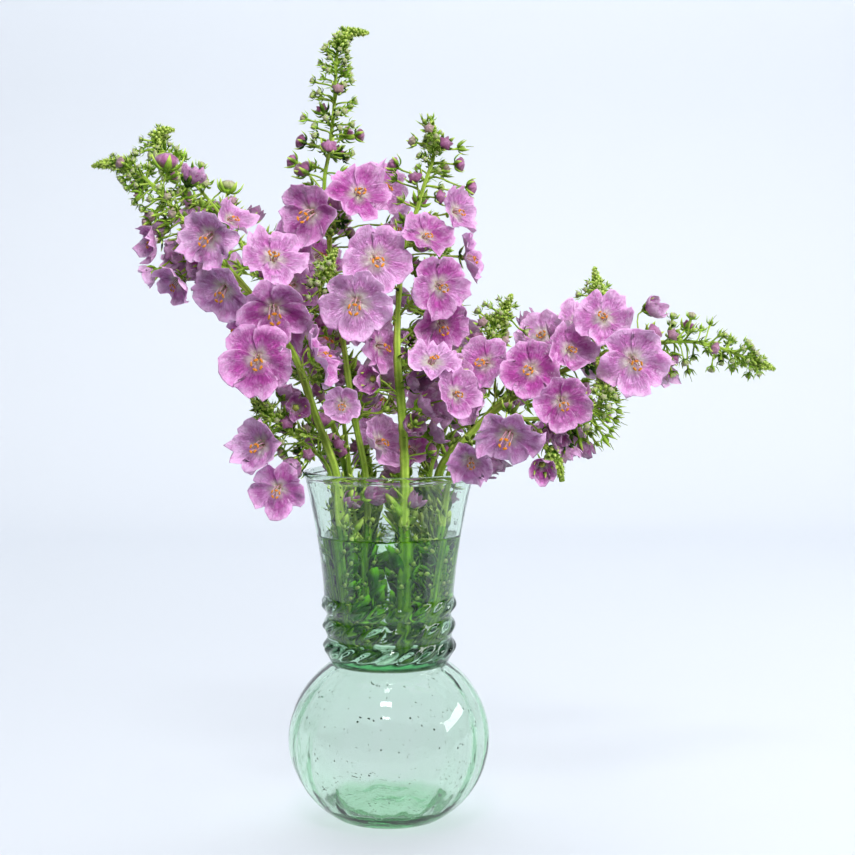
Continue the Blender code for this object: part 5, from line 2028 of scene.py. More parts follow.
    def build(self) -> None:
        """Make the stem's piece."""
        stem = STEMS[self.name]
        stalks = [stalk for stalk in self.bouquet.stalks if stalk.stem == self.name]
        controls = np.array([stalk.controls for stalk in stalks])
        path = stem_path(stem, self.step)
        run = run_of(path)
        slim = 1 - self.taper * np.clip(1.6 * run / run[-1] - 0.3, 0, 1)
        self.rods(path, stem_radii(stem, path) * slim, controls[:, 0], 0.5)
        self.leaves(path)
        self.cone(path, stem.cone)
        if self.name == SHOOT_OF:
            shoot = smooth_way(SHOOT_WAY, self.step)
            self.rods(shoot, np.full(len(shoot), SHOOT_R), controls[:, 0], 0.6)
            self.cone(shoot, SHOOT_CONE)
        rng = np.random.default_rng(len(stalks))
        self.shell.add(stalk_grids(controls, 6, 4, self.stalk_r), SKIN_LOOK,
                       rng.uniform(0.3, 1, len(stalks)))
        self.heads()
        self.bracts(stalks)
        piece = self.shell.make("stem_" + self.name, self.looks, ["spray_" + self.name])
        soak_and_shade(piece.data)


@dataclass
class OpenFlowers:
    """The open flowers' petals, a piece for each solid, and all their stamens."""

    bouquet: Bouquet
    petal: bpy.types.Material
    stamen_looks: list[bpy.types.Material]
    hairs: int = 20

    # The upper two, side and lowest filaments: how long, and how far out their tips.
    LONG = np.array([4.4, 5.0, 6.0, 6.0, 5.0])[:, None]
    WIDE = np.array([1.4, 2.0, 1.9, 1.9, 2.0])[:, None]

    def petals(self) -> None:
        """Make each solid's petals."""
        blooms, partners = self.bouquet.blooms, self.bouquet.partners
        tones = np.random.default_rng(3).uniform(0, 1, len(blooms))
        singles = [n for n in range(len(blooms)) if n not in partners]
        for number, single in enumerate(singles, 1):
            shell = Shell()
            for n in [single] + [b for b, a in partners.items() if a == single]:
                grid, turn, along = Sheet().grid(blooms[n])
                shell.add(grid, 0, tones[n], 0.0, turn, along)
            shell.make(f"petals_{number:02d}", [self.petal], [f"bloom_{number:02d}"], "petals")

    def filaments(self) -> tuple[Array, Array]:
        """Five filaments' centre lines and the directions across their anthers.

        Returns:
            The two, one row for each filament.
        """
        angle = math.pi / 2 + round_angles(LOBES)
        s = np.linspace(0, 1, 7)[:, None]
        out = turned_grid(np.ones(LOBES), angle, np.zeros(LOBES))
        foot = 1.1 * out - 0.6 * UP
        bend = 1.9 * out + 0.55 * self.LONG * UP
        tip = self.WIDE * out + self.LONG * UP + np.array([0.0, -1.5, 0.0])
        lines = (1 - s)**2 * foot[:, None] + 2 * s * (1 - s) * bend[:, None] + s**2 * tip[:, None]
        return lines, np.cross(out, UP)

    def hearts(self) -> None:
        """Make all the filaments, anthers, wool and styles."""
        lines, across = self.filaments()
        blooms, count = self.bouquet.blooms, len(self.bouquet.blooms)
        rng = np.random.default_rng(17)
        places = np.array([bloom.place - 0.9 * bloom.face for bloom in blooms])
        axes = head_axes(np.array([bloom.face for bloom in blooms]), rng.normal(0, 0.3, count))
        sizes = np.array([bloom.size / 15.0 for bloom in blooms]) * rng.uniform(0.9, 1.12, count)
        tones = rng.uniform(0, 1, count)
        plain, anthers = ball(4, 6, (1.1, 0.58, 0.6))[0], []
        for line, side in zip(lines, across):
            ahead = unit(line[-1] - line[-2])
            own = np.stack([side, np.cross(ahead, side), ahead])
            anthers.append(plain @ own + line[-1] + 0.25 * ahead)
        style = np.array([[0, 0.2, -0.4], [0, 0.3, 2.0], [0.1, -0.2, 4.5], [0.3, -1.6, 6.8]])
        taper = np.linspace(0.27, 0.19, 7)
        shell = Shell()
        for parts, look in (
                (np.array([rod(line, taper, 5) for line in lines]), 0),
                (np.array(anthers), 1),
                (rod(style, np.array([0.3, 0.2, 0.17, 0.16]), 5)[None], 3),
                (ball(5, 6, (0.34, 0.34, 0.34), style[-1]), 3),
                (ball(4, 7, (1.0, 1.0, 0.8), (0, 0, -0.3)), 3)):
            shell.add(set_out(parts, places, axes, sizes), look, np.repeat(tones, len(parts)))
        hairs = [set_out(p[None, None], places, axes, sizes) for p in self.wool(lines, rng)]
        shell.spikes(hairs[0].reshape(-1, 3), hairs[1].reshape(-1, 3), 0.07, 2)
        shell.make("stamens", self.stamen_looks, (), "petals")

    def wool(self, lines: Array, rng: np.random.Generator) -> tuple[Array, Array]:
        """Hairs that stand out of the filaments' lower two thirds.

        Args:
            lines: The filaments' centre lines.
            rng: What the hairs are drawn from.

        Returns:
            The hairs' roots and tips.
        """
        share = rng.uniform(0.05, 0.72, (LOBES, self.hairs)) * (lines.shape[1] - 1)
        low, which = share.astype(int), np.arange(LOBES)[:, None]
        part = (share - low)[..., None]
        roots = lines[which, low] * (1 - part) + lines[which, low + 1] * part
        out = units(rng.normal(0, 1, roots.shape))
        tips = roots + rng.uniform(0.5, 1.15, (LOBES, self.hairs, 1)) * out
        return roots.reshape(-1, 3), tips.reshape(-1, 3)

    def build(self) -> None:
        """Make petals and stamens."""
        self.petals()
        self.hearts()


@dataclass
class SmallFlowers:
    """The petals of buds, of half-open flowers and of withered ones."""

    bouquet: Bouquet
    bud: bpy.types.Material
    petal: bpy.types.Material

    def buds(self) -> None:
        """Make the buds' folded petals: mauve where they are large, green where small."""
        shell = Shell()
        for name in STEMS:
            heads = self.bouquet.heads(Kind.BUD, name)
            if not heads:
                continue
            places, axes, sizes, tones = heads
            ripe = np.clip((sizes - 2.75) / 0.8 + 0.3 * (tones - 0.5), 0, 1)
            if name == "left_back":
                ripe *= np.clip((274.0 - places[:, 2]) / 8.0, 0, 1)
            grown = sizes * (0.62 + 0.22 * ripe)
            for some, template in ((sizes < FINE_FROM, balloon(4, 2)),
                                   (sizes >= FINE_FROM, balloon(6, 3))):
                if some.any():
                    shell.add(set_out(template, places[some], axes[some], grown[some]), 0,
                              tones[some], ripe[some])
        shell.make("bud_petals", [self.bud], (), "petals")

    def crumpled(self, kind: Kind, name: str, sheet: Sheet, cup: float, grow: float,
                 age: float) -> None:
        """Make all the half-open or withered flowers' petals.

        Args:
            kind: Which of them.
            name: The piece's name.
            sheet: How finely they are made.
            cup: How far the petals close.
            grow: The petals' length for a head of size one.
            age: How withered they are.
        """
        shell, rng = Shell(), np.random.default_rng(21)
        chosen = [stalk for stalk in self.bouquet.stalks if stalk.kind is kind]
        for seed, stalk in enumerate(chosen, 500):
            place = stalk.place - 0.25 * stalk.size * stalk.face
            bloom = Bloom(stalk.stem, place, stalk.face, grow * stalk.size,
                          cup * rng.uniform(0.85, 1.12), seed)
            grid, turn, along = sheet.grid(bloom)
            shell.add(grid, 0, rng.uniform(0, 1), age * rng.uniform(0.5, 1.0), turn, along)
        shell.make(name, [self.petal], (), "petals")

    def build(self) -> None:
        """Make all of them."""
        self.buds()
        self.crumpled(Kind.HALF, "half_open_petals", Sheet(7, 8, 1.2, 1.6), 0.85, 1.25, 0.12)
        self.crumpled(Kind.WITHERED, "withered_petals", Sheet(6, 7, 2.2, 1.4), 1.1, 1.3, 0.9)


Colour = tuple[float, float, float, float]
Value = "Signal | float | Sequence"


def tint(red: int, green: int, blue: int) -> Colour:
    """A linear colour from its eight-bit screen values."""
    parts = [c / 255 for c in (red, green, blue)]
    return (*(c / 12.92 if c <= 0.04045 else ((c + 0.055) / 1.055)**2.4 for c in parts), 1.0)


@dataclass(frozen=True)
class Signal:
    """A node's output. Arithmetic with it adds a Math node and gives that one's output."""

    nodes: Nodes
    socket: bpy.types.NodeSocket

    def __add__(self, other: Value) -> Signal:
        """This and another."""
        return self.nodes.math("ADD", self, other)

    def __radd__(self, other: Value) -> Signal:
        """Another and this."""
        return self.nodes.math("ADD", other, self)

    def __sub__(self, other: Value) -> Signal:
        """This less another."""
        return self.nodes.math("SUBTRACT", self, other)

    def __rsub__(self, other: Value) -> Signal:
        """Another less this."""
        return self.nodes.math("SUBTRACT", other, self)

    def __mul__(self, other: Value) -> Signal:
        """This times another."""
        return self.nodes.math("MULTIPLY", self, other)

    def __abs__(self) -> Signal:
        """This without its sign."""
        return self.nodes.math("ABSOLUTE", self)

    def clamped(self) -> Signal:
        """This kept between 0 and 1."""
        self.socket.node.use_clamp = True
        return self


class Nodes:
    """Writes a node tree as expressions."""

    def __init__(self, tree: bpy.types.NodeTree) -> None:
        """Work on a tree."""
        self.tree = tree

    def feed(self, node: bpy.types.Node, inputs: dict[str | int, Value]) -> bpy.types.Node:
        """Give a node values or signals by the name or number of the input.

        Args:
            node: The node.
            inputs: What goes into it.

        Returns:
            The node.
        """
        for name, value in inputs.items():
            if isinstance(value, Signal):
                self.tree.links.new(value.socket, node.inputs[name])
            else:
                node.inputs[name].default_value = value
        return node

    def get(self, kind: str, output: str | int = 0, inputs: dict[str | int, Value] | None = None,
            **settings: object) -> Signal:
        """Add a node and give one of its outputs.

        Args:
            kind: Its type, without the leading ShaderNode.
            output: The output's name or number.
            inputs: What goes into it.
            settings: The node's own settings.

        Returns:
            The output.
        """
        node = self.tree.nodes.new("ShaderNode" + kind)
        for name, value in settings.items():
            setattr(node, name, value)
        return Signal(self, self.feed(node, inputs or {}).outputs[output])

    def math(self, operation: str, first: Value, second: Value = 0.0) -> Signal:
        """One sum of two values."""
        return self.get("Math", 0, {0: first, 1: second}, operation=operation)

    def span(self, value: Value, low: float, high: float) -> Signal:
        """A smooth step from 0 at low to 1 at high."""
        inputs = {"Value": value, "From Min": low, "From Max": high}
        return self.get("MapRange", 0, inputs, interpolation_type="SMOOTHSTEP")

    def mix(self, share: Value, first: Value, second: Value, blend: str = "MIX") -> Signal:
        """Two colours mixed."""
        inputs = {0: share, 6: first, 7: second}
        return self.get("Mix", 2, inputs, data_type="RGBA", blend_type=blend)

    def noise(self, place: Value, scale: Value, detail: float = 3.0, rough: float = 0.5) -> Signal:
        """Fractal noise from 0 to 1."""
        inputs = {"Vector": place, "Scale": scale, "Detail": detail, "Roughness": rough}
        return self.get("TexNoise", 0, inputs)

    def join(self, x: Value, y: Value) -> Signal:
        """A vector of two values."""
        return self.get("CombineXYZ", 0, {0: x, 1: y, 2: 0.0})

    def split(self, vector: Value) -> list[Signal]:
        """A vector's three values."""
        first = self.get("SeparateXYZ", 0, {0: vector})
        return [Signal(self, part) for part in first.socket.node.outputs]

    def place(self) -> Signal:
        """The Object coordinates, in metres."""
        return self.get("TexCoord", "Object")

    def uv(self) -> list[Signal]:
        """The UV map's values around and along."""
        return self.split(self.get("UVMap"))

    def trait(self, name: str) -> Signal:
        """A number that the mesh carries at each point."""
        return self.get("Attribute", "Fac", attribute_name=name)

    def effect(self, name: str, inputs: dict[str, Value]) -> list[Signal]:
        """The outputs of a node group."""
        first = self.get("Group", 0, inputs, node_tree=bpy.data.node_groups[name])
        return [Signal(self, part) for part in first.socket.node.outputs]

    def blotches(self, scale: float, tone: Value, dark: Colour, light: Colour) -> list[Signal]:
        """The colour and the fine noise of the blotches."""
        return self.effect("blotches", {"Vector": self.place(), "Scale": scale, "Tone": tone,
                                        "Dark": dark, "Light": light})

    def fuzz(self, scale: float, paleness: float) -> list[Signal]:
        """The height and the paleness of the down."""
        return self.effect("fuzz", {"Vector": self.place(), "Scale": scale, "Paleness": paleness})

    def body(self, height: Value, distance: float, strength: float,
             inputs: dict[str, Value]) -> None:
        """Join a Principled shader to the output.

        Args:
            height: What bumps its surface.
            distance: How deep, in metres.
            strength: How much of it shows.
            inputs: The shader's own inputs.
        """
        bump = {"Height": height, "Distance": distance, "Strength": strength}
        shader = self.get("BsdfPrincipled", 0, inputs | {"Normal": self.get("Bump", 0, bump)})
        self.get_out({"Surface": shader})

    def get_out(self, inputs: dict[str, Value]) -> None:
        """Join the surface and the volume to the output."""
        self.feed(self.tree.nodes.new("ShaderNodeOutputMaterial"), inputs)


class Effect:
    """A node group that more than one finish uses: its name, inputs and outputs."""

    name = ""
    inputs: dict[str, str] = {}
    outputs: dict[str, str] = {}

    def make(self) -> None:
        """Make the group, with the sums that write gives for its outputs."""
        tree = bpy.data.node_groups.new(self.name, "ShaderNodeTree")
        for names, side in ((self.inputs, "INPUT"), (self.outputs, "OUTPUT")):
            for label, kind in names.items():
                tree.interface.new_socket(label, in_out=side, socket_type="NodeSocket" + kind)
        nodes, start = Nodes(tree), tree.nodes.new("NodeGroupInput")
        given = [Signal(nodes, start.outputs[label]) for label in self.inputs]
        outputs = dict(zip(self.outputs, self.write(nodes, *given)))
        nodes.feed(tree.nodes.new("NodeGroupOutput"), outputs)


class Blotches(Effect):
    """Two colours by the piece's tone and by noise at two scales, large and fine."""

    name = "blotches"
    inputs = {"Vector": "Vector", "Scale": "Float", "Tone": "Float", "Dark": "Color",
              "Light": "Color"}
    outputs = {"Color": "Color", "Value": "Float"}

    def write(self, n: Nodes, place: Signal, scale: Signal, tone: Signal, dark: Signal,
              light: Signal) -> tuple[Signal, Signal]:
        """The mixed colour and the fine noise.

        Args:
            n: The group's nodes.
            place: The place.
            scale: The blotches' scale.
            tone: The part's own tone.
            dark: The dark colour.
            light: The light colour.

        Returns:
            The colour and the noise.
        """
        large, fine = n.noise(place, scale, 2.0), n.noise(place, scale * 5.5, 4.0, 0.62)
        share = large * 1.5 + fine * 0.9 - 1.15 + tone * 0.9
        return n.mix(share.clamped(), dark, light), fine


class Fuzz(Effect):
    """A height and a paleness for the down of short hairs on every green part."""

    name = "fuzz"
    inputs = {"Vector": "Vector", "Scale": "Float", "Paleness": "Float"}
    outputs = {"Height": "Float", "Mask": "Float"}

    def write(self, n: Nodes, place: Signal, scale: Signal,
              paleness: Signal) -> tuple[Signal, Signal]:
        """A steep cone at each cell's middle, and that times the paleness.

        Args:
            n: The group's nodes.
            place: The place.
            scale: Cells in a metre.
            paleness: How pale the hairs are.

        Returns:
            The height and the mask.
        """
        cells = n.get("TexVoronoi", "Distance", {"Vector": place, "Scale": scale})
        hair = n.math("POWER", (1.0 - cells * 1.7).clamped(), 3.0)
        return hair, hair * paleness


class Blown(Effect):
    """Hand-blown unevenness: slow waves drawn out upwards, fine cords, and specks.

    The specks are half a millimetre wide, one in eight cells of a Voronoi pattern
    on the ball and most of the cells near the foot.
    """

    name = "blown"
    inputs = {"Vector": "Vector", "Depth": "Float"}
    outputs = {"Normal": "Vector"}

    def write(self, n: Nodes, place: Signal, depth: Signal) -> list[Signal]:
        """The bumped normal.

        Args:
            n: The group's nodes.
            place: The place.
            depth: The bump's depth.

        Returns:
            The normal alone.
        """
        tall = n.get("Mapping", 0, {"Vector": place, "Scale": (1.0, 1.0, 0.35)})
        height = n.noise(tall, 55.0, 1.0) + n.noise(tall, 240.0, 1.0) * 0.12
        away = n.get("TexVoronoi", "Distance", {"Vector": place, "Scale": 430.0})
        cell = Signal(n, away.socket.node.outputs["Color"])
        limit = 0.88 - n.span(n.split(place)[2], 0.013, 0.007) * 0.7
        speck = (1.0 - away * 5.0).clamped() * n.math("GREATER_THAN", n.split(cell)[0], limit)
        height = height + speck * 0.9
        return [n.get("Bump", 0, {"Height": height, "Distance": depth, "Strength": 1.0})]


@dataclass(frozen=True)
class Finish:
    """What a piece is finished in."""

    name: str

    def make(self) -> bpy.types.Material:
        """Make the material, whose nodes the finish's own paint writes.

        Returns:
            The material.
        """
        material = bpy.data.materials.new(self.name)
        material.use_nodes = True
        material.node_tree.nodes.clear()
        self.paint(Nodes(material.node_tree))
        return material


@dataclass(frozen=True)
class ClearFinish(Finish):
    """Something clear: its index, its tint in depth, and how much light its shadow lets by."""

    index: float
    depth_tint: tuple[float, float, float]
    per_metre: float
    shade: Colour
    uneven: float

    def paint(self, n: Nodes) -> None:
        """Clear to the eye and, by a transparent shader, to shadow rays.

        Args:
            n: The material's nodes.
        """
        blown = n.effect("blown", {"Vector": n.place(), "Depth": self.uneven})[0]
        clear = n.get("BsdfPrincipled", 0, {
            "Base Color": (1.0, 1.0, 1.0, 1.0), "Roughness": 0.0, "Metallic": 0.0,
            "IOR": self.index, "Transmission Weight": 1.0, "Normal": blown})
        shadow = n.get("BsdfTransparent", 0, {"Color": self.shade})
        is_shadow = n.get("LightPath", "Is Shadow Ray")
        both = n.get("MixShader", 0, {0: is_shadow, 1: clear, 2: shadow})
        volume = {"Color": (*self.depth_tint, 1.0), "Density": self.per_metre}
        n.get_out({"Surface": both, "Volume": n.get("VolumeAbsorption", 0, volume)})


@dataclass(frozen=True)
class GreenFinish(Finish):
    """A green part of the plant: dark and light colours, gloss and down."""

    dark: Colour
    light: Colour
    tip: Colour
    old: Colour
    scale: float
    down: float
    ribs: float = 0.0
    index: float = 1.42
    sheen: float = 0.02

    def paint(self, n: Nodes) -> None:
        """Blotches, painted shade in the furrows between ribs, pale tips and down.

        Args:
            n: The material's nodes.
        """
        colour, fine = n.blotches(self.scale, n.trait("tone"), self.dark, self.light)
        turn, along, _ = n.uv()
        height = fine
        if self.ribs:
            streak = n.noise(n.join(turn * 9.0, along * 0.7), 3.0, 3.0)
            wave = n.math("COSINE", turn * (2 * math.pi * LOBES)) + streak * 2.4
            furrow = n.span(wave, 0.4, 1.9)
            # The furrows between the ribs are painted darker: painted shade.
            colour = n.mix((1.0 - furrow) * self.ribs, colour, self.dark)
            height = height * 0.4 + furrow * 0.8
        else:
            colour = n.mix(n.span(along, 0.55, 1.0), colour, self.tip)
        colour = n.mix(n.trait("age") * 0.8, colour, self.old)
        hair, pale = n.fuzz(2600.0, self.down)
        colour = n.mix(pale, colour, tint(214, 226, 178))
        n.body(height + hair * 0.5, 0.00016, 0.7, {
            "Base Color": colour, "Roughness": 0.42 + fine * 0.25, "IOR": self.index,
            "Subsurface Weight": 0.12, "Subsurface Radius": (0.6, 1.0, 0.2),
            "Subsurface Scale": 0.0012, "Specular IOR Level": 0.12, "Sheen Weight": self.sheen,
            "Sheen Roughness": 0.4, "Sheen Tint": tint(220, 235, 190)})


@dataclass(frozen=True)
class PetalFinish(Finish):
    """An open flower's petals: mauve with veins, pale at the edge and cream at the throat."""

    name: str = "petal_mauve"
    deep: Colour = tint(196, 84, 176)
    plain: Colour = tint(250, 188, 250)
    edge: Colour = tint(252, 206, 252)
    cream: Colour = tint(248, 238, 230)
    throat: Colour = tint(206, 206, 128)
    spot: Colour = tint(150, 128, 60)
    faded: Colour = tint(116, 80, 104)

    def paint(self, n: Nodes) -> None:
        """Each marking's colour is laid over the ones before it.

        The UV map runs round the flower in lobes, and along from 0 at the throat to 1
        at the edge on the back and on to 2 at the throat on the front. Last comes painted
        light and shade on the crinkles.

        Args:
            n: What writes the nodes.
        """
        tone, (turn, along, _) = n.trait("tone"), n.uv()
        out = 1.0 - abs(along - 1.0)
        front = n.math("GREATER_THAN", along, 1.0)
        colour, fine = n.blotches(130.0, tone, self.deep, self.plain)
        rim = n.span(out + fine * 0.22, 0.72, 1.12)
        colour = n.mix(rim * 0.5, colour, self.edge)
        vein = n.noise(n.join(turn * 7.0, out * 0.9), 3.2, 3.0, 0.6)
        line = (1.0 - abs(vein - 0.5) * 14.0).clamped()
        veins = line * n.span(out, 0.05, 0.4) * n.span(out, 1.0, 0.6)
        colour = n.mix(veins * 0.38, colour, self.deep)
        ragged = out + (vein - 0.5) * 0.22
        inner = 1.0 - n.span(ragged - tone * 0.1, 0.1, 0.46)
        colour = n.mix(inner * 0.88, colour, self.cream)
        ring = 1.0 - n.span(ragged, 0.1, 0.2)
        colour = n.mix(ring * 0.55, colour, self.throat)
        upper = n.math("COSINE", (turn - 3.0) * (2 * math.pi / LOBES))
        spot = (1.0 - abs(ragged - 0.17) * 11.0).clamped() * n.span(upper, 0.2, 0.9) * front
        colour = n.mix(spot * 0.4, colour, self.spot)
        colour = n.mix((1.0 - front) * 0.4, colour, self.edge)
        dry = (n.trait("age") * (0.55 + rim * 0.5)).clamped()
        colour = n.mix(dry, colour, self.faded)
        crinkle = n.noise(n.place(), 330.0, 3.0)
        # Paler on the crinkles' crests and deeper in their hollows: painted light and shade.
        colour = n.mix(n.span(crinkle, 0.5, 0.66) * 0.24, colour, self.edge)
        colour = n.mix(n.span(crinkle, 0.5, 0.34) * 0.36, colour, self.deep)
        height = fine * 0.5 - veins * 0.6 + n.noise(n.place(), 900.0, 2.0) * 0.28
        height = height + crinkle * 0.9 + n.noise(n.place(), 150.0, 1.0) * 2.4
        n.body(height, 0.0013, 0.8, {
            "Base Color": colour, "Roughness": 0.5 + fine * 0.2, "IOR": 1.4,
            "Subsurface Weight": 0.22, "Subsurface Radius": (1.0, 0.55, 0.9),
            "Subsurface Scale": 0.0018, "Sheen Weight": 0.03, "Sheen Roughness": 0.35,
            "Sheen Tint": tint(240, 215, 245), "Specular IOR Level": 0.1})


@dataclass(frozen=True)
class BudFinish(Finish):
    """A bud's folded petals: green while it is young and mauve when it is ripe."""

    name: str = "bud_petal"
    young: Colour = tint(178, 196, 128)
    ripe: Colour = tint(188, 124, 172)
    dark: Colour = tint(130, 72, 112)

    def paint(self, n: Nodes) -> None:
        """Painted shade in the folds between the petals, and a painted highlight at the top.

        Args:
            n: The material's nodes.
        """
        ripe, (turn, along, _) = n.trait("age"), n.uv()
        mauve, _ = n.blotches(210.0, n.trait("tone"), self.dark, self.ripe)
        colour = n.mix(ripe, self.young, mauve)
        fold = n.math("COSINE", (turn + along * 0.14) * (2 * math.pi * LOBES))
        # The folds between the petals are darkened: painted shade.
        shadow = n.mix(ripe, tint(120, 140, 62), self.dark)
        colour = n.mix(n.span(fold, 0.0, -1.0) * 0.6, colour, shadow)
        # Paler towards the top: a painted highlight.
        colour = n.mix(n.span(along, 0.75, 1.0) * 0.35, colour, tint(214, 170, 208))
        hair, pale = n.fuzz(2200.0, 0.25)
        colour = n.mix(pale, colour, tint(226, 214, 222))
        n.body(fold + hair * 0.4, 0.00012, 0.6, {
            "Base Color": colour, "Roughness": 0.5, "IOR": 1.4, "Subsurface Weight": 0.15,
            "Subsurface Radius": (1.0, 0.6, 0.8), "Subsurface Scale": 0.001,
            "Sheen Weight": 0.3, "Sheen Roughness": 0.4, "Sheen Tint": tint(235, 215, 235)})


@dataclass(frozen=True)
class ThreadFinish(Finish):
    """A fine part of the flower's middle: two colours along it and a grain of its own."""

    foot: Colour
    tip: Colour
    grain: float = 900.0
    roughness: float = 0.55

    def paint(self, n: Nodes) -> None:
        """From the foot's colour to the tip's, grained and bumped.

        Args:
            n: The material's nodes.
        """
        colour = n.mix(n.uv()[1], self.foot, self.tip)
        grain, fine = n.blotches(self.grain, n.trait("tone"), tint(150, 150, 150),
                                 tint(255, 255, 255))
        colour = n.mix(0.6, colour, grain, "MULTIPLY")
        n.body(fine, 0.0001, 0.8, {"Base Color": colour, "Roughness": self.roughness, "IOR": 1.42,
                                   "Sheen Weight": 0.3})


@dataclass(frozen=True)
class PaperFinish(Finish):
    """Pale paper with a fine tooth."""

    name: str = "paper_pale"
    plain: Colour = tint(212, 218, 226)
    grained: Colour = tint(209, 216, 226)

    def paint(self, n: Nodes) -> None:
        """Two near colours by the tooth, which also bumps it.

        Args:
            n: The material's nodes.
        """
        grain = n.noise(n.place(), 700.0, 3.0)
        colour = n.mix(grain * 0.1, self.plain, self.grained)
        n.body(grain, 0.00005, 0.3, {"Base Color": colour, "Roughness": 0.85,
                                     "Specular IOR Level": 0.2})


GLASS = ClearFinish("glass_green", 1.5, (0.38, 0.81, 0.48), 69.0, (0.97, 0.93, 0.96, 1.0), 0.0007)
WATER = ClearFinish("water_clear", 1.33, (0.72, 0.94, 0.70), 20.0, (0.9, 0.92, 0.9, 1.0), 0.00002)
SKIN = GreenFinish("stem_green", tint(104, 142, 34), tint(202, 230, 104), tint(202, 230, 104),
                   tint(104, 84, 52), 60.0, 0.14, 0.5)
SEPAL = GreenFinish("sepal_green", tint(12, 48, 2), tint(158, 204, 68), tint(204, 232, 112),
                    tint(104, 98, 50), 150.0, 0.14)
# Under the water: no gloss or down, and colours darker than the dry ones as painted shade.
WET_SHADED_SKIN = GreenFinish("stem_wet", tint(40, 96, 8), tint(140, 198, 40), tint(140, 198, 40),
                       tint(90, 90, 40), 60.0, 0.0, 0.6, 1.03, 0.0)
WET_SHADED_LEAF = GreenFinish("leaf_wet", tint(2, 26, 4), tint(50, 126, 4), tint(110, 188, 14),
                       tint(70, 80, 30), 150.0, 0.0, 0.0, 1.03, 0.0)
CONE = GreenFinish("young_bud_green", tint(72, 120, 18), tint(192, 220, 96), tint(214, 232, 132),
                   tint(74, 112, 40), 170.0, 0.25)
DOWN = ThreadFinish("down_hair", tint(196, 210, 150), tint(232, 238, 210))
FILAMENT = ThreadFinish("filament_purple", tint(186, 92, 128), tint(240, 200, 212))
ANTHER = ThreadFinish("anther_orange", tint(222, 112, 16), tint(246, 164, 44), 2200.0, 0.8)
WOOL = ThreadFinish("filament_wool", tint(236, 214, 230), tint(250, 240, 246))
PISTIL = ThreadFinish("pistil_green", tint(96, 110, 46), tint(172, 128, 98))


def add_object(name: str, data: bpy.types.ID) -> bpy.types.Object:
    """An object in the scene that shows a mesh, a light or a camera.

    Args:
        name: Its name.
        data: What it shows.

    Returns:
        The object.
    """
    thing = bpy.data.objects.new(name, data)
    bpy.context.scene.collection.objects.link(thing)
    return thing


@dataclass(frozen=True)
class Softbox:
    """A rectangular light: its place, aim, size, power, and whether gloss reflects it.

    Shades says whether it casts shadows, and roll is its turn about its own direction
    in degrees.
    """

    name: str
    place: tuple[float, float, float]
    aim: tuple[float, float, float]
    size: tuple[float, float]
    watts: float
    shows: bool = False
    shades: bool = True
    roll: float = 0.0
    colour: tuple[float, float, float] = (1.0, 1.0, 1.0)

    def hang(self) -> bpy.types.Object:
        """Hang it.

        Returns:
            The light.
        """
        data = bpy.data.lights.new(self.name, "AREA")
        data.shape, data.size, data.size_y = "RECTANGLE", *self.size
        data.energy, data.color, data.use_shadow = self.watts, self.colour, self.shades
        lamp = add_object(self.name, data)
        course = (Vector(self.aim) - Vector(self.place)).to_track_quat("-Z", "Y").to_matrix()
        turned = course @ Matrix.Rotation(math.radians(self.roll), 3, "Z")
        lamp.location, lamp.rotation_euler = self.place, turned.to_euler()
        lamp.visible_glossy, lamp.visible_transmission = self.shows, False
        return lamp


MIDDLE, FOOT = (0.02, 0.0, 0.22), (0.0, -0.02, 0.04)
KEY_BOX = ((1.2, -2.6, 2.1), MIDDLE, (1.3, 1.3), 115.0, False)
KEY_COLOUR = (1.0, 0.985, 0.97)

# The ball shows the long box on the right and the four slats overhead. The others
# shape the flowers and light the paper.
BOXES = (
    Softbox("box_right", (1.026, -0.059, 0.443), FOOT, (0.82, 0.19), 4.0, True, False, 5.6),
    Softbox("fill_left", (-2.2, -1.6, 1.0), MIDDLE, (1.6, 1.6), 7.0),
    Softbox("top", (0.0, 0.6, 2.4), (0.0, 0.8, 0.0), (2.2, 1.6), 12.0),
    Softbox("behind", (0.0, 0.7, 1.4), (0.0, 1.4, 0.35), (2.6, 0.4), 9.0),
    Softbox("slat_0", (-0.049, -0.647, 1.077), FOOT, (0.29, 0.12), 2.4, True),
    Softbox("slat_1", (-0.031, -0.922, 0.854), FOOT, (0.245, 0.069), 0.6, True),
    Softbox("slat_2", (-0.03, -0.309, 1.226), FOOT, (0.139, 0.093), 0.3, True),
    Softbox("slat_3", (-0.046, -0.082, 1.257), FOOT, (0.214, 0.058), 0.3, True),
)


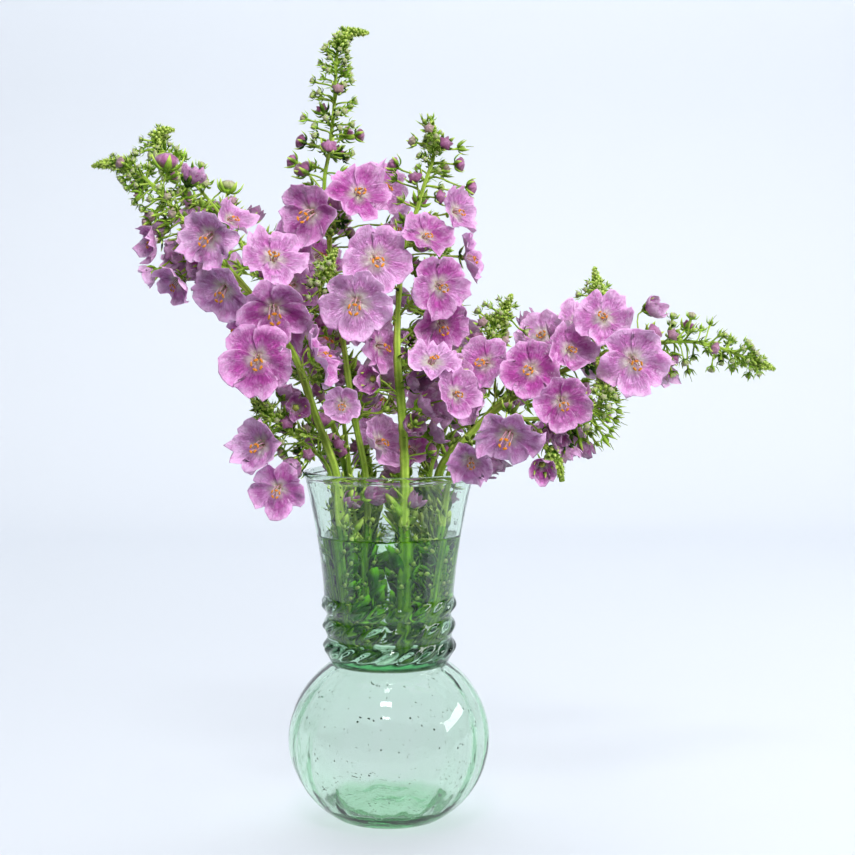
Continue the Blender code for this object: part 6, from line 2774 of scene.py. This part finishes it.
@dataclass
class Studio:
    """The camera, the pale sweep behind the vase, and soft lights."""

    camera_at: tuple[float, float, float] = (0.01644, -0.723, 0.2187)
    camera_tilt: float = 86.0
    lens: float = 36.0 * 1700.0 / 855.0
    half_width: float = 3.0
    floor: float = -0.0002
    front_edge: float = -0.16

    def set_camera(self) -> None:
        """Stand the camera where the photograph was taken from."""
        data = bpy.data.cameras.new("camera")
        data.lens, data.sensor_width, data.clip_start, data.clip_end = self.lens, 36.0, 0.05, 30.0
        camera = add_object("camera", data)
        camera.location = self.camera_at
        camera.rotation_euler = (math.radians(self.camera_tilt), 0.0, 0.0)
        bpy.context.scene.camera = camera

    def lay(self, name: str, y: Array, z: Array, look: bpy.types.Material) -> bpy.types.Object:
        """Lay one sheet of paper along a profile.

        Args:
            name: Its name.
            y: The profile's depths.
            z: Its heights.
            look: The paper's material.

        Returns:
            The sheet.
        """
        x, count = np.array([-self.half_width, self.half_width]), len(y)
        grid = np.stack([np.repeat(x, count), np.tile(y, 2), np.tile(z, 2)], axis=1)
        mesh = bpy.data.meshes.new(name)
        mesh.from_pydata(grid.tolist(), [], [(i, i + count, i + count + 1, i + 1)
                                             for i in range(count - 1)])
        mesh.shade_smooth()
        mesh.materials.append(look)
        sheet = add_object(name, mesh)
        return sheet

    def sweep(self) -> list[bpy.types.Object]:
        """Lay the floor that curves up into the wall, and the floor in front of it.

        The profile is level to 0.9 m behind the vase, a quarter circle of 0.5 m, and
        upright to 3 m. Glass and petals don't show the light of the part in front.

        Returns:
            Both sheets.
        """
        look = PaperFinish().make()
        turn = np.linspace(0, math.pi / 2, 24)
        y = np.concatenate([[self.front_edge, 0.0, 0.9], 0.9 + 0.5 * np.sin(turn[1:]), [1.4]])
        z = np.concatenate([[0, 0, 0], 0.5 - 0.5 * np.cos(turn[1:]), [3.0]]) + self.floor
        front = self.lay("paper_front", np.array([-2.0, self.front_edge]), np.full(2, self.floor),
                         look)
        front.visible_glossy = front.visible_diffuse = False
        return [self.lay("paper_sweep", y, z, look), front]

    def set_lights(self, papers: Sequence[bpy.types.Object]) -> None:
        """Hang the lights and set the dim room.

        The key lights all but the paper, which has a shadowless key of its own.

        Args:
            papers: The sheets of paper.
        """
        for name, state in (("key", "EXCLUDE"), ("key_paper", "INCLUDE")):
            lamp = Softbox(name, *KEY_BOX, name == "key", colour=KEY_COLOUR).hang()
            sheets = bpy.data.collections.new(name + "_sheets")
            lamp.light_linking.receiver_collection = sheets
            for index, paper in enumerate(papers):
                sheets.objects.link(paper)
                sheets.collection_objects[index].light_linking.link_state = state
        for box in BOXES:
            box.hang()
        world = bpy.data.worlds.new("dim_room")
        world.use_nodes = True
        world.node_tree.nodes.clear()
        nodes = Nodes(world.node_tree)
        room = nodes.get("Background", 0, {"Color": tint(228, 236, 250), "Strength": 0.09})
        nodes.feed(world.node_tree.nodes.new("ShaderNodeOutputWorld"), {"Surface": room})
        bpy.context.scene.world = world

    def build(self) -> None:
        """Set up the whole studio."""
        bpy.context.scene.view_settings.view_transform = "Standard"
        self.set_camera()
        self.set_lights(self.sweep())


def main() -> None:
    """Lay the bouquet out and build every piece."""
    logging.basicConfig(level=logging.INFO, format="%(message)s")
    Studio().build()
    for effect in (Blotches, Fuzz, Blown):
        effect().make()
    bouquet = layout()
    log.info("%d open flowers, %d pairs, %d stalks", len(bouquet.blooms), len(bouquet.partners),
             len(bouquet.stalks))
    Fillers(bouquet).fill()
    log.info("%d stalks with the small heads between", len(bouquet.stalks))
    vase = Vase()
    vase.build(GLASS.make())
    Water(vase).build(WATER.make())
    greens = [finish.make() for finish in (SKIN, SEPAL, CONE, DOWN, WET_SHADED_SKIN, WET_SHADED_LEAF)]
    for name in STEMS:
        Spray(name, bouquet, greens).build()
    petal = PetalFinish().make()
    hearts = [finish.make() for finish in (FILAMENT, ANTHER, WOOL, PISTIL)]
    OpenFlowers(bouquet, petal, hearts).build()
    SmallFlowers(bouquet, BudFinish().make(), petal).build()


if __name__ == "__main__":
    main()
